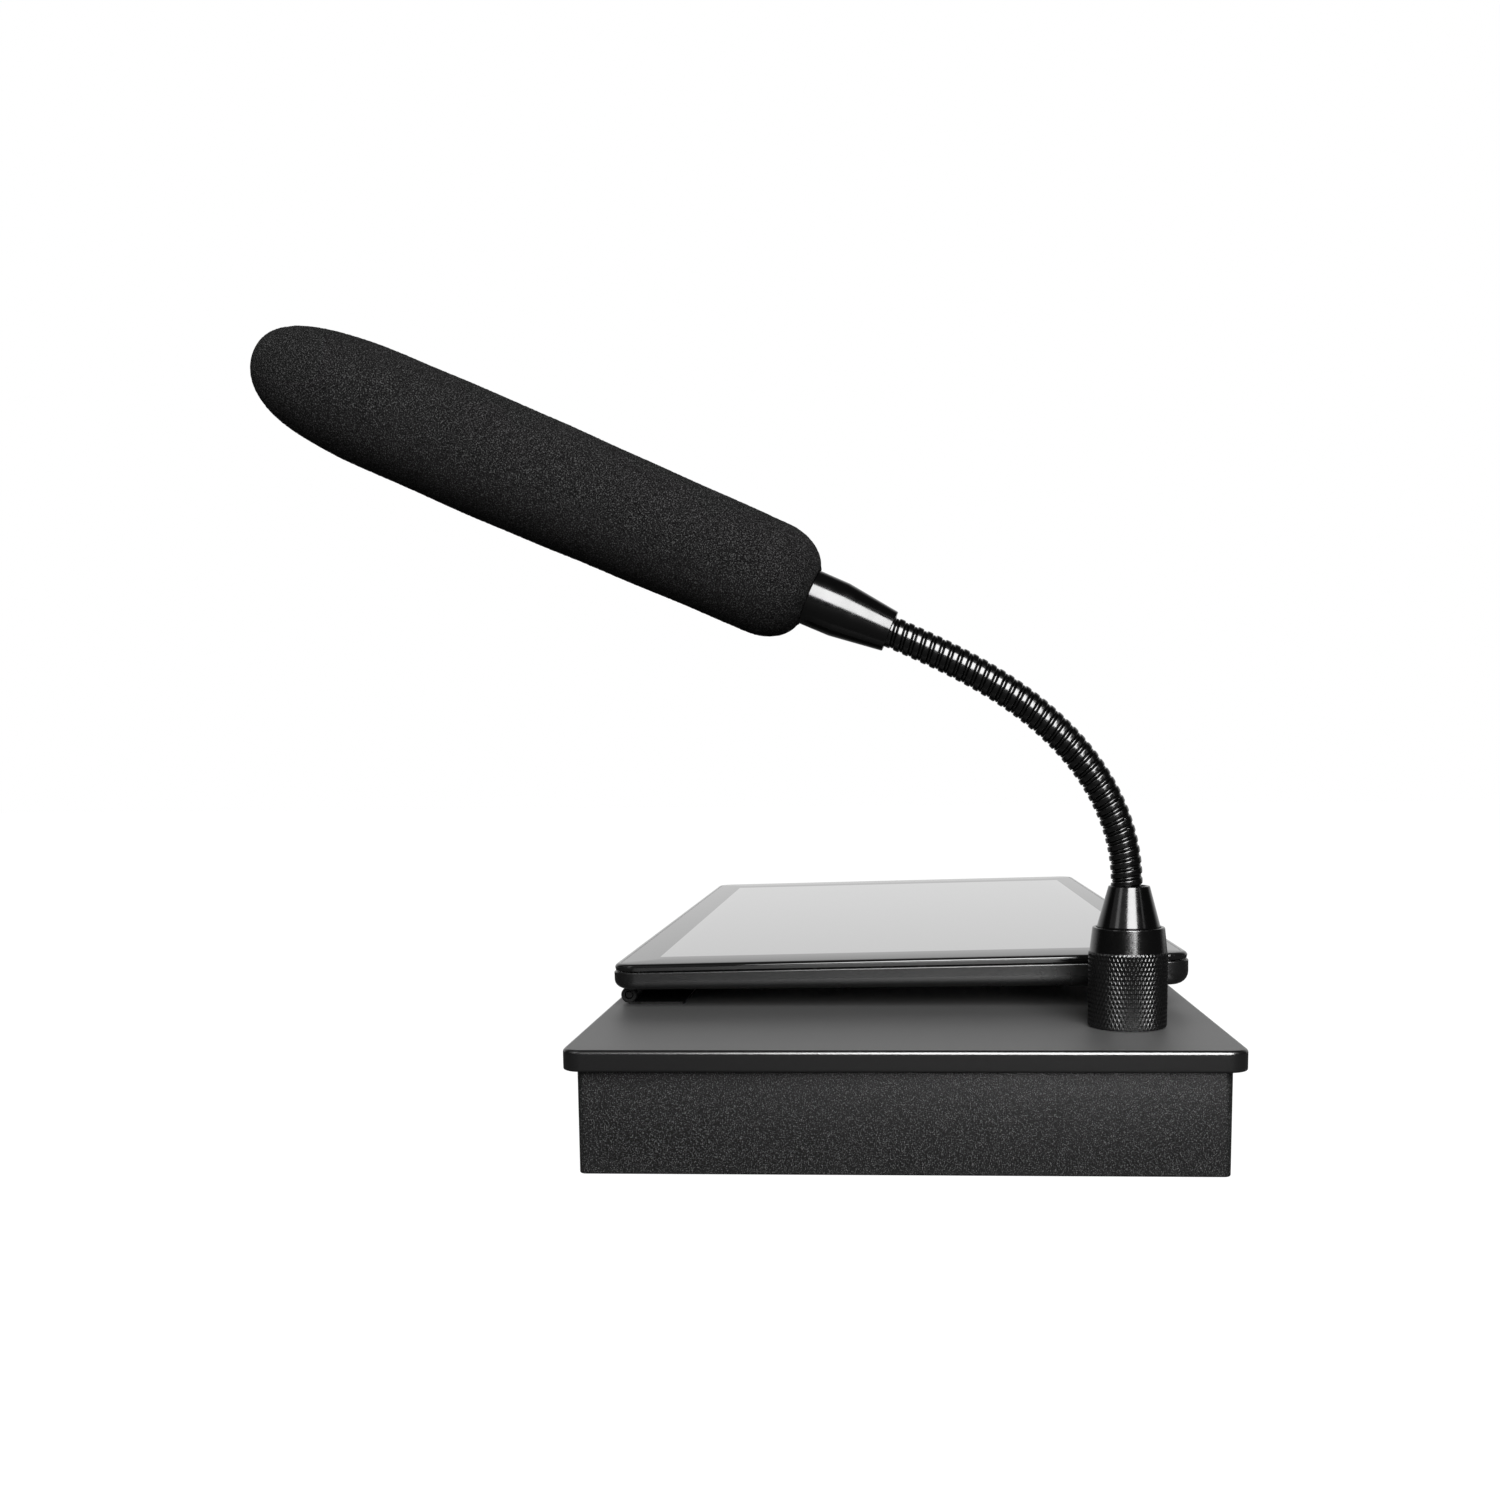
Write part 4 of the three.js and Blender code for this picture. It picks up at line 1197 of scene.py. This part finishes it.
def make_lights(rig):
    """One big softbox over the camera does most of the work; weak strips and a fill edge the turned parts."""
    softbox(rig, "key", 12, 30, 1.3, (0.78, 1.05), 56, roll=22)
    softbox(rig, "strip_left", -51, 36, 1.3, (0.3, 0.9), 1.9)
    softbox(rig, "fill_left", -51, 36, 1.7, (2.2, 1.2), 2.6)
    softbox(rig, "strip_right", 55, 32, 1.3, (0.1, 1.0), 0.4)


def make_world(rig):
    """White for the camera; for other rays a dark room, bright behind the console and below it."""
    world = bpy.data.worlds.new("studio")
    bpy.context.scene.world = world
    world.use_nodes = True
    tree = world.node_tree
    tree.nodes.clear()

    coordinates = tree.nodes.new("ShaderNodeTexCoord")
    coordinates.object = rig
    split = tree.nodes.new("ShaderNodeSeparateXYZ")
    tree.links.new(coordinates.outputs["Object"], split.inputs["Vector"])
    behind = fade(tree, split.outputs["X"], -0.35, -0.75)
    low = fade(tree, split.outputs["Z"], 0.8, 0.4)
    below = fade(tree, split.outputs["Z"], -0.15, -0.4)
    backdrop = math_node(tree, "MULTIPLY", behind, low)
    brightest = math_node(tree, "MAXIMUM", backdrop, below)
    level = math_node(tree, "MULTIPLY_ADD", brightest, BACKDROP_LEVEL, ROOM_LEVEL)
    room = tree.nodes.new("ShaderNodeBackground")
    room.inputs["Color"].default_value = as_color(1)
    tree.links.new(level, room.inputs["Strength"])
    white = tree.nodes.new("ShaderNodeBackground")
    white.inputs["Color"].default_value = as_color(1)
    seen = tree.nodes.new("ShaderNodeLightPath")
    mix = tree.nodes.new("ShaderNodeMixShader")
    output = tree.nodes.new("ShaderNodeOutputWorld")
    tree.links.new(seen.outputs["Is Camera Ray"], mix.inputs["Fac"])
    tree.links.new(room.outputs["Background"], mix.inputs[1])
    tree.links.new(white.outputs["Background"], mix.inputs[2])
    tree.links.new(mix.outputs["Shader"], output.inputs["Surface"])


def make_floor(rig):
    """A pale floor: white to the camera, but to other rays lit only far behind, so that blacks stay black."""
    half = 4.0
    corners = [(-half, -half, 0), (half, -half, 0), (half, half, 0), (-half, half, 0)]
    floor = new_mesh("floor", corners, [(0, 1, 2, 3)])
    floor.location.z = -0.05 * MM
    look = Look("pale_floor", 0.05, 0.9)
    look.set("Specular IOR Level", 0.0)
    look.feed(look.ramp(look.noise(60, 3.0), [(0.3, 0.045), (0.7, 0.055)]), "Base Color")
    coordinates = look.node("ShaderNodeTexCoord", object=rig)
    split = look.node("ShaderNodeSeparateXYZ")
    look.link(coordinates.outputs["Object"], split.inputs["Vector"])
    far = fade(look.tree, split.outputs["X"], -0.5, -1.3, BACKDROP_LEVEL)
    seen = look.node("ShaderNodeLightPath")
    strength = math_node(look.tree, "MAXIMUM", far, seen.outputs["Is Camera Ray"])
    look.set("Emission Color", as_color(1))
    look.feed(strength, "Emission Strength")
    # From below the sheet is clear, so that the underside can be seen.
    clear = look.node("ShaderNodeBsdfTransparent")
    side = look.node("ShaderNodeNewGeometry")
    mix = look.node("ShaderNodeMixShader")
    look.link(side.outputs["Backfacing"], mix.inputs["Fac"])
    look.link(look.shader.outputs["BSDF"], mix.inputs[1])
    look.link(clear.outputs["BSDF"], mix.inputs[2])
    look.link(mix.outputs["Shader"], look.tree.nodes["Material Output"].inputs["Surface"])
    floor.data.materials.append(look.material)


# ---------------------------------------------------------------- build

dress_cad_nodes()
# The pin takes the darker black too: painted shade where its end would catch light under the display.
frame["nodes"]["hinge_pin"].data.materials[0] = LOOKS["painted_shade_black"]
top_plate()
base_housing()
case_screws()
power_inlet()
network_port()
video_port()
audio_output()
rest_bumpers()
hinge()
display()
display_cable()
mic_socket()
plug_body()
contact_pins()
knurled_ring()
plug_cone()
gooseneck()
ferrule()
mic_tube()
windscreen()
make_camera()
light_rig = make_rig()
make_lights(light_rig)
make_world(light_rig)
make_floor(light_rig)

scene = bpy.context.scene
scene.view_settings.view_transform = "Standard"
scene.view_settings.look = "None"
